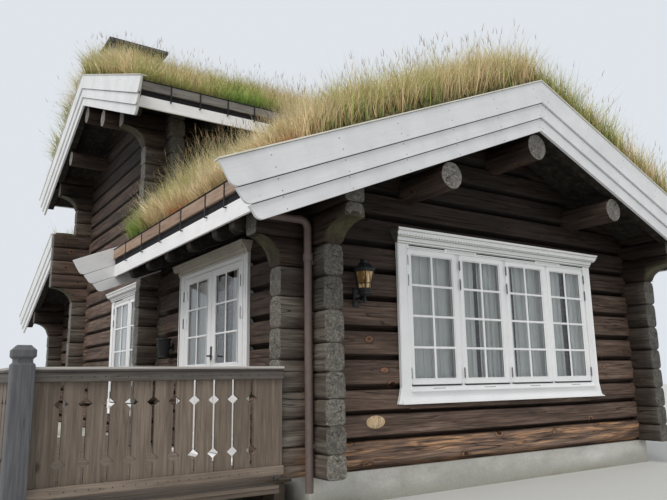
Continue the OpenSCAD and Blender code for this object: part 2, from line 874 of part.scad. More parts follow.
module deck_floor() {
    color("burlywood") difference() {
        union() {
            block(deck_x[0], deck_x[1], deck_y, deck_y + deck_len, deck_h - deck_t, deck_h);
            for (x = [deck_x[0] + 60, (deck_x[0] + deck_x[1]) / 2, deck_x[1] - 160]) {
                block(x, x + 100, deck_y + 250, deck_y + deck_len - 60, 0, deck_h - deck_t + 5);
            }
        }
        block(-half - log_end - 5, 0, deck_y - 20, -front_face + 5, 0, 400);
        block(-half - log_end - 5, 0, cross_face - 5, cross_face + log_t + 5, 0, 400);
        block(-4600, post_x + post_w / 2 + 5, deck_y - 200, post_y + post_w / 2 + 5, 0, 400);
    }
}
// One slot between two boards, widened to a diamond near each end
module slot(u) {
    rect(u - slot_w / 2, u + slot_w / 2, slot_low, slot_high);
    for (z = diamond_z) {
        polygon([[u - diamond_w / 2, z], [u, z - diamond_h / 2], [u + diamond_w / 2, z], [u, z + diamond_h / 2]]);
    }
}
module railing(u0, u1, first, count) {
    along_y(0, board_t) difference() {
        rect(u0, u1, board_low, rail_top - 40);
        for (k = [0:count - 1]) slot(first + slot_pitch * k);
    }
    along_y(-rail_t - 15, 60) rect(u0, u1, rail_top - 30, rail_top);
    along_y(-rail_t, 5) rect(u0, u1, slot_high - 5, rail_top - 25);
    along_y(-rail_t, 5) rect(u0, u1, board_low, slot_low - 8);
    along_y(-15, 5) rect(u0, u0 + 50, board_low, slot_high);
}
module deck_front_railing() {
    color(fence_grey) translate([0, rail_y, 0]) railing(post_x + post_w / 2, -half - log_end, -4195, 10);
}
module deck_side_railing() {
    run = deck_len - 100;
    color(fence_grey) translate([-4460, post_y + post_w / 2, 0]) rotate(90) mirror([0, 1, 0]) {
        railing(0, run, 80, 38);
        for (u = [run / 3, 2 * run / 3, run - 90]) {
            block(u, u + 90, board_t - 5, board_t + 75, deck_h, rail_top - 25);
        }
    }
}
// Half outline of the post: a notch for the neck, then a cap with bevelled edges
post_side = [
    [0, 1234], [post_w / 2 - 28, 1234], [post_w / 2 + 2, 1203], [post_w / 2 + 2, 1162], [post_w / 2 - 14, 1147],
    [post_w / 2 - 14, 1128], [post_w / 2, 1113], [post_w / 2, 0], [0, 0]
];
module deck_corner_post() {
    color(fence_grey) translate([post_x, post_y, 0]) intersection() {
        along_x(-post_w, post_w) polygon(both_sides(post_side));
        along_y(-post_w, post_w) polygon(both_sides(post_side));
    }
}

/* Lamps and pipe */

module wall_lantern() {
    color("black") translate([-1850, front_face - 130, 0]) {
        translate([0, 0, 1716]) rotate(30) cylinder(h = 190, r1 = 62, r2 = 88, $fn = 6);
        translate([0, 0, 1704]) rotate(30) cylinder(h = 14, r = 70, $fn = 6);
        translate([0, 0, 1900]) rotate(30) cylinder(h = 14, r = 104, $fn = 6);
        translate([0, 0, 1912]) rotate(30) cylinder(h = 46, r1 = 98, r2 = 46, $fn = 6);
        translate([0, 0, 1955]) rotate(30) cylinder(h = 40, r = 36, $fn = 6);
        translate([0, 0, 1650]) cylinder(h = 60, r = 13, $fn = 24);
        translate([0, 0, 1640]) sphere(r = 20, $fn = 24);
        block(-10, 10, 0, 130, 1660, 1682);
        block(-32, 32, 118, 130, 1600, 1760);
    }
}
module wall_lamp() {
    color("black") translate([-half - 110, 3000, 1275]) {
        cylinder(h = 225, r1 = 58, r2 = 82, $fn = 48);
        translate([0, 0, 205]) cylinder(h = 20, r = 88, $fn = 48);
        translate([0, 0, 0]) cylinder(h = 16, r = 64, $fn = 48);
        block(0, 110, -30, 30, 90, 150);
    }
}
module downpipe() {
    r = 32;
    bend = 70;
    run = 394;
    bend_z = 2210;
    color(plank_brown) translate([-half - 46, front_face - 88, 0]) {
        translate([0, 0, 150]) cylinder(h = bend_z - 150, r = r, $fn = 48);
        translate([-bend, 0, bend_z]) rotate([90, 0, 0]) {
            rotate_extrude(angle = 90, $fn = 48) translate([bend, 0]) circle(r, $fn = 48);
        }
        translate([-run, 0, bend_z + bend]) rotate([0, 90, 0]) cylinder(h = run - bend, r = r, $fn = 48);
        translate([-run, 0, bend_z + bend - r]) cylinder(h = 82, r = r, $fn = 48);
        translate([0, 0, 1940]) cylinder(h = 60, r = r + 8, $fn = 48);
        for (z = [475, 1915]) block(0, 46, -12, 12, z, z + 30);
    }
}

foundation();
floor();
front_wall();
wing_left_wall_near();
wing_left_wall_far();
wing_left_wall_over_door();
wing_right_wall();
cross_wall();
tall_left_wall();
tall_right_wall();
tall_rear_wall();
leanto_side_walls();
leanto_rear_wall();
wing_purlins();
tall_purlins();
wing_roof_left();
wing_roof_right();
tall_roof_front();
tall_roof_rear();
leanto_roof();
wing_turf();
tall_turf();
leanto_turf();
wing_barge_boards();
tall_barge_boards();
leanto_barge_boards();
eave_boards();
turf_planks();
chimney_stack();
chimney_cap();
front_window();
side_windows();
window_glass();
door_frame();
door_leaf_near();
door_leaf_far();
door_glass_near();
door_glass_far();
door_handle();
deck_floor();
deck_front_railing();
deck_side_railing();
deck_corner_post();
wall_lantern();
wall_lamp();
downpipe();
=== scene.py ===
import bmesh
import bpy
import json
import math
import random
from mathutils import Matrix, Vector, noise

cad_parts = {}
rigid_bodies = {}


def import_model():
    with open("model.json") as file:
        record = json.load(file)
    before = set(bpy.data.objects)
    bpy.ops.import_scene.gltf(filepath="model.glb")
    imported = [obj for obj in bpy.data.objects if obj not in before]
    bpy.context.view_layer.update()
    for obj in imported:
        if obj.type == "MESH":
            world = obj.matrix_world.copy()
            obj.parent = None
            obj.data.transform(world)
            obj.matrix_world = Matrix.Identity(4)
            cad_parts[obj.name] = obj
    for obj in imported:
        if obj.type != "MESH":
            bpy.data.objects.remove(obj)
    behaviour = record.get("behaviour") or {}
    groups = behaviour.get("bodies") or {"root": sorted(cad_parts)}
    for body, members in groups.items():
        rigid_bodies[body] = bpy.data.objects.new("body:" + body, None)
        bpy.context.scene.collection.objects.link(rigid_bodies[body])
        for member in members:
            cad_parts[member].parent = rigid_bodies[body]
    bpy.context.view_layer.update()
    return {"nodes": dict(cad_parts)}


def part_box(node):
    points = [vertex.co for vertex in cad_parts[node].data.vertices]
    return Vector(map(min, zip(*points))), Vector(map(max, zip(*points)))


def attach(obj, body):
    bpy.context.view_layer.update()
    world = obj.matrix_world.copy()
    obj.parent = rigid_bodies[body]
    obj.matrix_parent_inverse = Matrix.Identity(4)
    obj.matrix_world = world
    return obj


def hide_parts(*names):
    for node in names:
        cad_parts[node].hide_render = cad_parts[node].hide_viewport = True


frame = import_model()

# Main planes of the house, in metres; the walls' places are read from the frame
COURSE = 0.24
LOG_END = 0.25
SLOPE = math.tan(math.radians(22.66))
PITCH_COS = math.cos(math.atan(SLOPE))
PITCH_SIN = math.sin(math.atan(SLOPE))
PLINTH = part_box("foundation")[1].z
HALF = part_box("wing_left_wall_far")[0].x * -1
LOG_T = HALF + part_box("wing_left_wall_far")[1].x
SIDE_X = HALF - LOG_T / 2
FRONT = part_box("front_wall")[0].y
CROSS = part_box("cross_wall")[0].y
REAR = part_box("tall_rear_wall")[1].y
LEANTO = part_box("leanto_rear_wall")[1].y
RIDGE_Y = (CROSS + REAR) / 2
TALL_HALF = (REAR - CROSS) / 2
WING_TOP = PLINTH + 9.5 * COURSE
TALL_TOP = PLINTH + 4.359
LEANTO_TOP = PLINTH + 2.234
ROOF_BOARDS = 0.16
LOG_REACH = HALF + LOG_END
EAVE_REACH = 0.565
FRONT_REACH = 0.470
STACK_REACH = 0.61
LEANTO_REACH = 0.54

X_AXIS = Vector((1, 0, 0))
Y_AXIS = Vector((0, 1, 0))
Z_AXIS = Vector((0, 0, 1))
SIDES = (-1, 1)


def wing_z(u):
    return WING_TOP + (HALF - abs(u)) * SLOPE


def tall_z(u):
    return TALL_TOP + (TALL_HALF - abs(u)) * SLOPE


def leanto_z(u):
    return LEANTO_TOP + (LEANTO - REAR - u) * SLOPE


def course_z(k):
    return PLINTH + k * COURSE


def clamp(value, low=0.0, high=1.0):
    return min(high, max(low, value))


# Finishes

class Signal:
    """A node's output, which adds, subtracts and multiplies as a number does."""

    def __init__(self, finish, socket):
        self.finish = finish
        self.socket = socket

    def math(self, operation, other=0.0):
        return self.finish.add("ShaderNodeMath", {0: self, 1: other}, operation=operation)

    def __add__(self, other):
        return self.math("ADD", other)

    def __sub__(self, other):
        return self.math("SUBTRACT", other)

    def __mul__(self, other):
        return self.math("MULTIPLY", other)

    def band(self, low, high, to_low=0.0, to_high=1.0):
        inputs = {"Value": self, "From Min": low, "From Max": high, "To Min": to_low, "To Max": to_high}
        return self.finish.add("ShaderNodeMapRange", inputs, "Result")

    def line(self, width):
        """1 where the value crosses a half, falling to 0 at the width."""
        return (self - 0.5).math("ABSOLUTE").band(0.0, width, 1.0, 0.0)

    def ramp(self, *stops):
        """Colours along the value, each as (position, red, green, blue)."""
        made = self.finish.node("ShaderNodeValToRGB", {"Fac": self})
        elements = made.color_ramp.elements
        while len(elements) < len(stops):
            elements.new(0.5)
        for element, (position, *colour) in zip(elements, stops):
            element.position = position
            element.color = (*colour, 1)
        return Signal(self.finish, made.outputs["Color"])

    def dim(self, factor):
        """The colour times a grey factor."""
        return self.finish.add("ShaderNodeVectorMath", {0: self, "Scale": factor}, operation="SCALE")


def feed(tree, socket, value):
    """Links another node's output to a socket, or sets the socket's own value."""
    value = value.socket if isinstance(value, Signal) else value
    if isinstance(value, bpy.types.NodeSocket):
        tree.links.new(value, socket)
    else:
        socket.default_value = value


def add_node(tree, kind, inputs, **settings):
    made = tree.nodes.new(kind)
    for key, value in settings.items():
        setattr(made, key, value)
    for key, value in inputs.items():
        feed(tree, made.inputs[key], value)
    return made


class Finish:
    """A material whose nodes are added one after another."""

    def __init__(self, name, roughness, **sockets):
        self.material = bpy.data.materials.new(name)
        self.material.use_nodes = True
        self.tree = self.material.node_tree
        self.shader = self.tree.nodes["Principled BSDF"]
        for socket, value in dict(sockets, Roughness=roughness).items():
            self.shader.inputs[socket.replace("_", " ")].default_value = value

    def node(self, kind, inputs, **settings):
        return add_node(self.tree, kind, inputs, **settings)

    def add(self, kind, inputs, output=0, **settings):
        return Signal(self, self.node(kind, inputs, **settings).outputs[output])

    def parts(self, kind, **inputs):
        """All outputs of a node, by name."""
        return {socket.name: Signal(self, socket) for socket in self.node(kind, inputs).outputs}

    def attributes(self, *names):
        return [self.add("ShaderNodeAttribute", {}, "Fac", attribute_name=name) for name in names]

    def grain(self, scale=(1, 1, 1)):
        """The wood's own directions: along it, across it and up."""
        source = self.add("ShaderNodeAttribute", {}, "Vector", attribute_name="grain")
        return self.add("ShaderNodeMapping", {"Vector": source, "Scale": scale})

    def place(self, scale=(1, 1, 1)):
        source = self.add("ShaderNodeTexCoord", {}, "Object")
        return self.add("ShaderNodeMapping", {"Vector": source, "Scale": scale})

    def noise(self, vector, scale, detail, rough, twist=0.0, w=None):
        inputs = {"Vector": vector, "Scale": scale, "Detail": detail, "Roughness": rough, "Distortion": twist}
        if w is None:
            return self.add("ShaderNodeTexNoise", inputs, "Fac")
        return self.add("ShaderNodeTexNoise", dict(inputs, W=w), "Fac", noise_dimensions="4D")

    def fibres(self, scale, detail, rough, twist=0.0, w=None):
        """Noise stretched along the grain."""
        return self.noise(self.grain(scale), 1.0, detail, rough, twist, w)

    def cloud(self, scale, detail, rough, twist=0.0):
        """Noise of the same size in all directions."""
        return self.noise(self.place(), scale, detail, rough, twist)

    def blend(self, factor, a, b):
        colours = [value if isinstance(value, Signal) else (*value, 1) for value in (a, b)]
        inputs = {0: factor, 6: colours[0], 7: colours[1]}
        return self.add("ShaderNodeMix", inputs, 2, data_type="RGBA", blend_type="MIX")

    def finish(self, colour, height=None, distance=0.0, strength=0.0, roughness=None):
        feed(self.tree, self.shader.inputs["Base Color"], colour)
        if height is not None:
            inputs = {"Height": height, "Distance": distance, "Strength": strength}
            feed(self.tree, self.shader.inputs["Normal"], self.add("ShaderNodeBump", inputs))
        if roughness is not None:
            feed(self.tree, self.shader.inputs["Roughness"], roughness)
        return self.material


def shade(colour, factor):
    return tuple(min(1.0, part * factor) for part in colour)


def knots(f, scale, keep):
    """Distance from a knot's middle, 1 where there is none, and the knot's own number."""
    vector = f.grain(scale)
    drift = f.add("ShaderNodeTexNoise", {"Vector": vector, "Scale": 2.0}, "Color").dim(0.25)
    bent = f.add("ShaderNodeVectorMath", {0: vector, 1: drift}, operation="ADD")
    cells = f.parts("ShaderNodeTexVoronoi", Vector=bent, Scale=1.0)
    number = f.parts("ShaderNodeSeparateColor", Color=cells["Color"])
    away = cells["Distance"] + number["Red"].band(keep - 0.02, keep + 0.02, 1.0, 0.0)
    return away.math("MINIMUM", 1.0), number["Green"]


def hewn_log():
    f = Finish("hewn_log", 0.66, Specular_IOR_Level=0.15)
    tint, weather, bleach, moss, groove = f.attributes("tint", "weather", "bleach", "moss", "groove")
    seed = tint * 60.0
    fibres = f.fibres((2.2, 46, 46), 5, 0.62, 0.6, seed)
    patches = f.fibres((0.9, 7, 7), 4, 0.6, 0.8, seed)
    tone = fibres * 0.55 + patches * 0.45
    colour = tone.ramp(
        (0.33, 0.018, 0.013, 0.011), (0.46, 0.056, 0.038, 0.030), (0.55, 0.098, 0.067, 0.052),
        (0.67, 0.175, 0.125, 0.098))
    swirl = f.fibres((0.8, 5, 11), 3, 0.55, 1.6, seed).band(0.44, 0.60, 0.10, 1.0)
    worn = fibres.band(0.42, 0.62) * weather.band(0.96, 1.14) * swirl
    colour = f.blend(worn, colour, (0.40, 0.222, 0.112))
    away, kind = knots(f, (3.0, 0, 4.4), 0.06)
    pale_knot = away.ramp(
        (0.0, 0.250, 0.120, 0.050), (0.04, 0.070, 0.032, 0.018), (0.09, 0.520, 0.310, 0.150),
        (0.14, 0.050, 0.026, 0.016), (0.24, 0.130, 0.085, 0.060))
    dark_knot = away.ramp(
        (0.0, 0.012, 0.008, 0.007), (0.09, 0.026, 0.014, 0.010), (0.13, 0.200, 0.105, 0.062),
        (0.17, 0.030, 0.018, 0.014), (0.24, 0.100, 0.070, 0.054))
    knot = f.blend(kind.band(0.55, 0.65), dark_knot, pale_knot)
    colour = f.blend(away.band(0.14, 0.26, 0.92, 0.0) * weather.band(0.0, 0.15, 0.5, 1.0), colour, knot)
    grey = tone.ramp((0.30, 0.045, 0.038, 0.031), (0.50, 0.125, 0.110, 0.092), (0.68, 0.270, 0.245, 0.210))
    colour = f.blend(bleach * patches.band(0.36, 0.56, 0.35, 1.0), colour, grey)
    checks = f.fibres((0.55, 10, 10), 2, 0.5, 0.3, seed).line(0.011) * patches.band(0.42, 0.56)
    colour = colour.dim(checks.band(0.0, 1.0, 1.0, 0.22))
    # Painted light and shade: the weather value sets how bright the logs are, dark under the roof's overhang
    # and on walls turned from the light; it also drives the worn grain
    lit = weather.math("MAXIMUM", 0.0).math("POWER", 0.45).band(0, 1, 0.32, 2.10)
    lit = lit * bleach.band(0, 1, 1.0, 0.62)
    colour = colour.dim(tint.band(0, 1, 0.78, 1.22) * lit.math("MAXIMUM", bleach * 0.62))
    lichen = patches.ramp((0.35, 0.034, 0.031, 0.018), (0.65, 0.090, 0.084, 0.048))
    # Moss, then painted shade in the grooves between the logs
    colour = f.blend(moss, colour, lichen).dim(groove.band(0, 1, 1.0, 0.36))
    height = fibres + patches * 0.6 - checks * 1.4
    return f.finish(colour, height, 0.009, 0.75, fibres.band(0.3, 0.7, 0.52, 0.78))


def sawn_log_end(name, pale):
    """End grain: rings, drying cracks from the heart, and grey weathering."""
    f = Finish(name, 0.8)
    tint, weather = f.attributes("tint", "weather")
    seed = tint * 60.0
    place = f.parts("ShaderNodeSeparateXYZ", Vector=f.grain())
    radius = (place["Y"].math("POWER", 2.0) + place["Z"].math("POWER", 2.0)).math("SQRT")
    angle = place["Z"].math("ARCTAN2", place["Y"])
    turn = f.add("ShaderNodeCombineXYZ", {0: angle * 1.35, 1: radius * 2.6})
    split = f.noise(turn, 1.0, 3, 0.5, 0.2, seed).line(0.007) * radius.band(0.004, 0.035)
    split = split * f.noise(turn, 0.45, 2, 0.5, 0.0, seed).band(0.46, 0.56)
    level = f.fibres((0, 3, 15), 2, 0.5, 0.3, seed).line(0.008)
    split = split.math("MAXIMUM", level * f.noise(turn, 0.7, 2, 0.5, 0.0, seed).band(0.50, 0.58))
    rings = (radius * 620.0 + f.fibres((4, 9, 9), 3, 0.6, 0.0, seed) * 22.0).math("SINE")
    blotch = f.fibres((10, 26, 26), 5, 0.65, 0.4, seed)
    spots = f.fibres((10, 55, 55), 5, 0.75, 0.0, seed)
    colour = blotch.ramp((0.32, *shade(pale, 0.38)), (0.50, *shade(pale, 0.8)), (0.66, *pale))
    colour = f.blend(spots.band(0.52, 0.62, 0.0, 0.85), colour, shade(pale, 1.75))
    colour = colour.dim(spots.band(0.36, 0.48, 0.55, 1.0)).dim(rings.band(-1, 1, 0.86, 1.05))
    colour = colour.dim(split.band(0, 1, 1.0, 0.15))
    # Painted shade: the ends darken with the weather value, which is low under the roof and on walls turned
    # from the light
    colour = colour.dim(tint.band(0, 1, 0.8, 1.2) * weather.band(0, 1, 0.42, 1.18))
    return f.finish(colour, rings * 0.12 + blotch - split * 2.2, 0.006, 0.8)


def weathered_wood(name, dark, middle, light, knot, scale=1.0, checks=0.5):
    f = Finish(name, 0.78)
    tint, = f.attributes("tint")
    seed = tint * 40.0
    fibres = f.fibres((3.0 * scale, 70 * scale, 70 * scale), 5, 0.65, 0.4, seed)
    patches = f.fibres((1.2, 6, 6), 4, 0.6, 0.5, seed)
    colour = (fibres * 0.6 + patches * 0.4).ramp((0.32, *dark), (0.50, *middle), (0.68, *light))
    away, _ = knots(f, (2.6, 4.5, 4.5), 0.7)
    colour = f.blend(away.band(0.06, 0.13, 1.0, 0.0), colour, knot)
    lines = f.fibres((0.8, 22, 22), 2, 0.5, 0.2, seed).line(0.012) * (patches.band(0.45, 0.55) * checks)
    colour = colour.dim(lines.band(0, 1, 1.0, 0.3)).dim(tint.band(0, 1, 0.80, 1.20))
    return f.finish(colour, fibres - lines, 0.003, 0.6)


def painted_wood(name, colour, shadow, dirt, roughness, grain_bump):
    """Paint or stain over wood: the grain shows a little, and dirt gathers in patches."""
    f = Finish(name, roughness)
    tint, = f.attributes("tint")
    fibres = f.fibres((2.5, 60, 60), 5, 0.6, 0.3)
    patches = f.cloud(2.6, 5, 0.62)
    mixed = f.blend(patches.band(0.42, 0.72), colour, shadow)
    mixed = f.blend(f.cloud(34.0, 3, 0.7).band(0.62, 0.75) * patches.band(0.35, 0.7, 0.1, 0.6), mixed, dirt)
    mixed = mixed.dim(fibres.band(0.3, 0.7, 0.955, 1.02)).dim(tint.band(0, 1, 0.965, 1.02))
    gloss = patches.band(0.3, 0.7, roughness - 0.07, roughness + 0.15)
    return f.finish(mixed, fibres, 0.0016, grain_bump, gloss)


def roof_boards_in_painted_shade():
    """Dark roof boards and rafters, painted darker still as painted shade under the roof, drawn as boards
    along the eave.
    """
    f = Finish("roof_boards", 0.8, Specular_IOR_Level=0.1)
    fibres = f.noise(f.place((14, 14, 14)), 1.0, 5, 0.65)
    place = f.parts("ShaderNodeSeparateXYZ", Vector=f.place())
    joints = (place["Z"] * (1 / 0.052)).math("FRACT").line(0.045)
    colour = fibres.ramp((0.3, 0.011, 0.009, 0.008), (0.55, 0.029, 0.024, 0.020), (0.75, 0.060, 0.051, 0.043))
    return f.finish(colour.dim(joints.band(0, 1, 1.0, 0.45)), fibres - joints, 0.004, 0.6)


def cast_concrete():
    f = Finish("cast_concrete", 0.85)
    broad = f.noise(f.place((0.8, 0.8, 1.6)), 1.5, 6, 0.62)
    fine = f.cloud(45.0, 5, 0.7)
    place = f.parts("ShaderNodeSeparateXYZ", Vector=f.place())
    damp = place["Z"].band(0.0, 0.14, 1.0, 0.0) * broad.band(0.35, 0.6, 0.4, 1.0)
    colour = broad.ramp((0.32, 0.36, 0.345, 0.31), (0.55, 0.55, 0.54, 0.50), (0.75, 0.68, 0.67, 0.64))
    colour = f.blend(damp, colour, (0.30, 0.29, 0.23)).dim(fine.band(0.3, 0.7, 0.88, 1.08))
    pores = f.parts("ShaderNodeTexVoronoi", Vector=f.place(), Scale=60.0)["Distance"]
    return f.finish(colour, fine + pores.band(0.0, 0.22, -0.8, 0.0), 0.003, 0.6)


def rough_stone(name, dark, middle, light, scale=9.0):
    f = Finish(name, 0.82)
    tint, = f.attributes("tint")
    broad = f.cloud(scale, 6, 0.65, 0.3)
    fine = f.cloud(scale * 7, 5, 0.7)
    colour = broad.ramp((0.32, *dark), (0.50, *middle), (0.70, *light))
    colour = colour.dim(fine.band(0.3, 0.7, 0.80, 1.15)).dim(tint.band(0, 1, 0.72, 1.25))
    return f.finish(colour, broad + fine * 0.4, 0.012, 0.8)


def sod():
    """Earth, moss and matted old grass under the blades."""
    f = Finish("sod", 0.95)
    weather, = f.attributes("weather")
    broad = f.cloud(1.7, 5, 0.6)
    clumps = f.cloud(17.0, 5, 0.7)
    colour = clumps.ramp(
        (0.30, 0.045, 0.036, 0.018), (0.45, 0.150, 0.120, 0.050), (0.58, 0.290, 0.235, 0.105),
        (0.72, 0.400, 0.330, 0.170))
    green = clumps.ramp((0.30, 0.030, 0.034, 0.012), (0.55, 0.120, 0.130, 0.040), (0.72, 0.260, 0.255, 0.090))
    moss = clumps.ramp((0.30, 0.070, 0.035, 0.012), (0.55, 0.230, 0.115, 0.040), (0.72, 0.330, 0.190, 0.080))
    colour = f.blend(broad.band(0.47, 0.58), colour, green)
    colour = f.blend(weather * clumps.band(0.35, 0.55), colour, moss)
    return f.finish(colour, clumps, 0.05, 1.0)


def grass_blade():
    """Straw and green by chance; weather draws a tuft to vivid green or, below 0, to orange moss."""
    f = Finish("grass_blade", 0.6)
    tip, tint, own, kind = f.attributes("tip", "tint", "own", "weather")
    straw = tip.ramp(
        (0.0, 0.300, 0.260, 0.100), (0.25, 0.700, 0.530, 0.270), (0.6, 0.880, 0.720, 0.430),
        (1.0, 0.930, 0.860, 0.560))
    green = tip.ramp((0.0, 0.110, 0.150, 0.030), (0.4, 0.400, 0.430, 0.110), (1.0, 0.700, 0.690, 0.300))
    rusty = tip.ramp((0.0, 0.200, 0.125, 0.070), (0.4, 0.620, 0.400, 0.220), (1.0, 0.820, 0.640, 0.480))
    vivid = tip.ramp((0.0, 0.060, 0.115, 0.014), (0.4, 0.260, 0.400, 0.060), (1.0, 0.560, 0.640, 0.190))
    orange = tip.ramp((0.0, 0.180, 0.070, 0.020), (0.5, 0.560, 0.220, 0.070), (1.0, 0.700, 0.400, 0.170))
    greenness = f.cloud(0.9, 4, 0.6).band(0.40, 0.62, 0.04, 0.50) + kind * 0.8
    colour = f.blend(((tint + own) * 0.5).math("LESS_THAN", greenness), straw, green)
    colour = f.blend(own.math("GREATER_THAN", 0.87), colour, rusty)
    colour = f.blend(kind.band(0.75, 1.2), colour, vivid)
    colour = f.blend(kind.band(-0.3, -0.7), colour, orange)
    return f.finish(colour.dim((own * 7.3).math("FRACT").band(0, 1, 0.74, 1.12)))


def curtain_cloth():
    f = Finish("curtain_cloth", 0.9, Sheen_Weight=0.2)
    folds = f.noise(f.place((7, 7, 0.5)), 1.0, 3, 0.5)
    colour = folds.ramp((0.3, 0.56, 0.56, 0.54), (0.7, 0.76, 0.76, 0.73))
    return f.finish(colour, f.cloud(260.0, 2, 0.5), 0.0006, 0.4)


def amber_glass():
    f = Finish("amber_glass", 0.16, Transmission_Weight=0.35, IOR=1.45)
    waves = f.noise(f.place((34, 34, 5)), 1.0, 2, 0.5, 0.7)
    colour = waves.ramp((0.38, 0.26, 0.14, 0.05), (0.50, 0.66, 0.42, 0.17), (0.60, 0.95, 0.78, 0.48))
    return f.finish(colour, waves, 0.004, 0.5)


def coated_metal(name, colour, roughness, metallic=0.0, speck=0.9):
    f = Finish(name, roughness, Metallic=metallic, Specular_IOR_Level=0.3)
    marks = f.cloud(22.0, 5, 0.65)
    tone = marks.ramp((0.35, *shade(colour, speck)), (0.65, *shade(colour, 1.15)))
    return f.finish(tone, marks, 0.0008, 0.3, marks.band(0.3, 0.7, roughness - 0.08, roughness + 0.12))


# Black felt for the turf membrane, also put in the window's slots as painted shade
def felt_membrane():
    f = Finish("felt_membrane", 0.85, Specular_IOR_Level=0.2)
    grit = f.cloud(120.0, 3, 0.7)
    return f.finish(grit.ramp((0.3, 0.006, 0.006, 0.008), (0.7, 0.022, 0.021, 0.024)), grit, 0.002, 0.5)


LOG = hewn_log()
LOG_CUT = sawn_log_end("sawn_log_end", (0.262, 0.240, 0.205))
PURLIN_CUT = sawn_log_end("purlin_end", (0.47, 0.43, 0.38))
PALE_CUT = sawn_log_end("pale_cut", (1.0, 0.70, 0.42))
FASCIA = painted_wood("eave_stain", (0.90, 0.90, 0.905), (0.82, 0.82, 0.83), (0.45, 0.44, 0.42), 0.55, 0.4)
BARGE = painted_wood("barge_stain", (0.77, 0.77, 0.78), (0.67, 0.67, 0.68), (0.30, 0.29, 0.28), 0.55, 0.5)
DRIP = painted_wood("drip_cap", (0.74, 0.72, 0.65), (0.60, 0.57, 0.49), (0.30, 0.28, 0.22), 0.6, 0.5)
WHITE = painted_wood("white_paint", (0.94, 0.94, 0.945), (0.88, 0.88, 0.885), (0.45, 0.44, 0.42), 0.38, 0.2)
BEIGE_PAINT = painted_wood("old_paint", (0.56, 0.52, 0.44), (0.42, 0.38, 0.30), (0.20, 0.18, 0.14), 0.6, 0.5)
PLANK = weathered_wood(
    "brown_plank", (0.120, 0.070, 0.045), (0.330, 0.220, 0.155), (0.480, 0.350, 0.270), (0.09, 0.035, 0.02))
GREY_PLANK = weathered_wood(
    "grey_plank", (0.060, 0.055, 0.050), (0.150, 0.138, 0.125), (0.260, 0.245, 0.225), (0.05, 0.04, 0.03))
FENCE = weathered_wood(
    "terrace_board", (0.075, 0.055, 0.040), (0.165, 0.127, 0.097), (0.270, 0.215, 0.170), (0.07, 0.05, 0.035))
FENCE_DARK = weathered_wood(
    "terrace_rail", (0.035, 0.030, 0.026), (0.082, 0.071, 0.062), (0.140, 0.122, 0.106), (0.03, 0.025, 0.02))
FENCE_WORN = weathered_wood(
    "worn_cap", (0.220, 0.202, 0.182), (0.410, 0.388, 0.360), (0.560, 0.535, 0.505), (0.10, 0.08, 0.07))
POST_GREY = weathered_wood(
    "post_grey", (0.052, 0.052, 0.056), (0.098, 0.098, 0.106), (0.165, 0.166, 0.178), (0.05, 0.045, 0.04))
FLOOR = weathered_wood(
    "floor_board", (0.26, 0.17, 0.09), (0.44, 0.30, 0.17), (0.56, 0.40, 0.25), (0.18, 0.10, 0.05), 0.8, 0.2)
SHADED_ROOF_WOOD = roof_boards_in_painted_shade()
CONCRETE = cast_concrete()
STONE = rough_stone("chimney_stone", (0.070, 0.066, 0.062), (0.170, 0.160, 0.150), (0.300, 0.285, 0.265))
MORTAR = rough_stone("mortar", (0.16, 0.155, 0.145), (0.26, 0.25, 0.235), (0.36, 0.35, 0.33), 20.0)
SLATE = rough_stone("slate", (0.040, 0.042, 0.046), (0.085, 0.088, 0.094), (0.150, 0.152, 0.158), 6.0)
SOD = sod()
BLADE = grass_blade()
CURTAIN = curtain_cloth()
GLASS = Finish("clear_glass", 0.02, Transmission_Weight=1.0, IOR=1.45).finish((0.93, 0.96, 0.96, 1))
AMBER = amber_glass()
BLACK = coated_metal("black_metal", (0.020, 0.020, 0.022), 0.42)
IRON_AND_GAP_SHADE = coated_metal("dark_iron", (0.022, 0.019, 0.018), 0.6, 0.0, 0.6)
HINGE = coated_metal("hinge_steel", (0.150, 0.150, 0.155), 0.5, 0.2)
SLOT_SHADE = coated_metal("shaded_paint", (0.37, 0.37, 0.340), 0.8)
SHADE_BEHIND_BEADS = coated_metal("bead_bed", (0.44, 0.44, 0.415), 0.7)
SHADED_END = coated_metal("shaded_end", (0.085, 0.080, 0.072), 0.8)
PIPE = coated_metal("brown_lacquer", (0.130, 0.097, 0.087), 0.42)
FELT_AND_SLOT_SHADE = felt_membrane()


# Making pieces

rng = random.Random(7)
EXPOSED = 0.5


def new_shape():
    bm = bmesh.new()
    bm.verts.layers.float_vector.new("grain")
    for name in ("tint", "weather", "bleach", "moss", "groove"):
        bm.verts.layers.float.new(name)
    return bm


def layers(bm, *names):
    """The vertices' own values of these names; grain has a direction, the others are numbers."""
    kinds = bm.verts.layers
    return [kinds.float_vector[name] if name == "grain" else kinds.float[name] for name in names]


def mesh_of(name, bm, *finishes):
    mesh = bpy.data.meshes.new(name)
    bm.to_mesh(mesh)
    bm.free()
    for finish in finishes:
        mesh.materials.append(finish)
    return mesh


def show(name, data):
    made = bpy.data.objects.new(name, data)
    bpy.context.scene.collection.objects.link(made)
    return made


def piece(name, bm, finishes, body="house", stands_for=(), crease=32):
    """Makes the shape an object, with its edges sharp past the crease angle."""
    limit = math.radians(crease)
    for face in bm.faces:
        face.smooth = True
    for edge in bm.edges:
        edge.smooth = len(edge.link_faces) == 2 and edge.calc_face_angle(0.0) < limit
    made = show(name, mesh_of(name, bm, *finishes))
    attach(made, body)
    if stands_for:
        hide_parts(*stands_for)
    return made


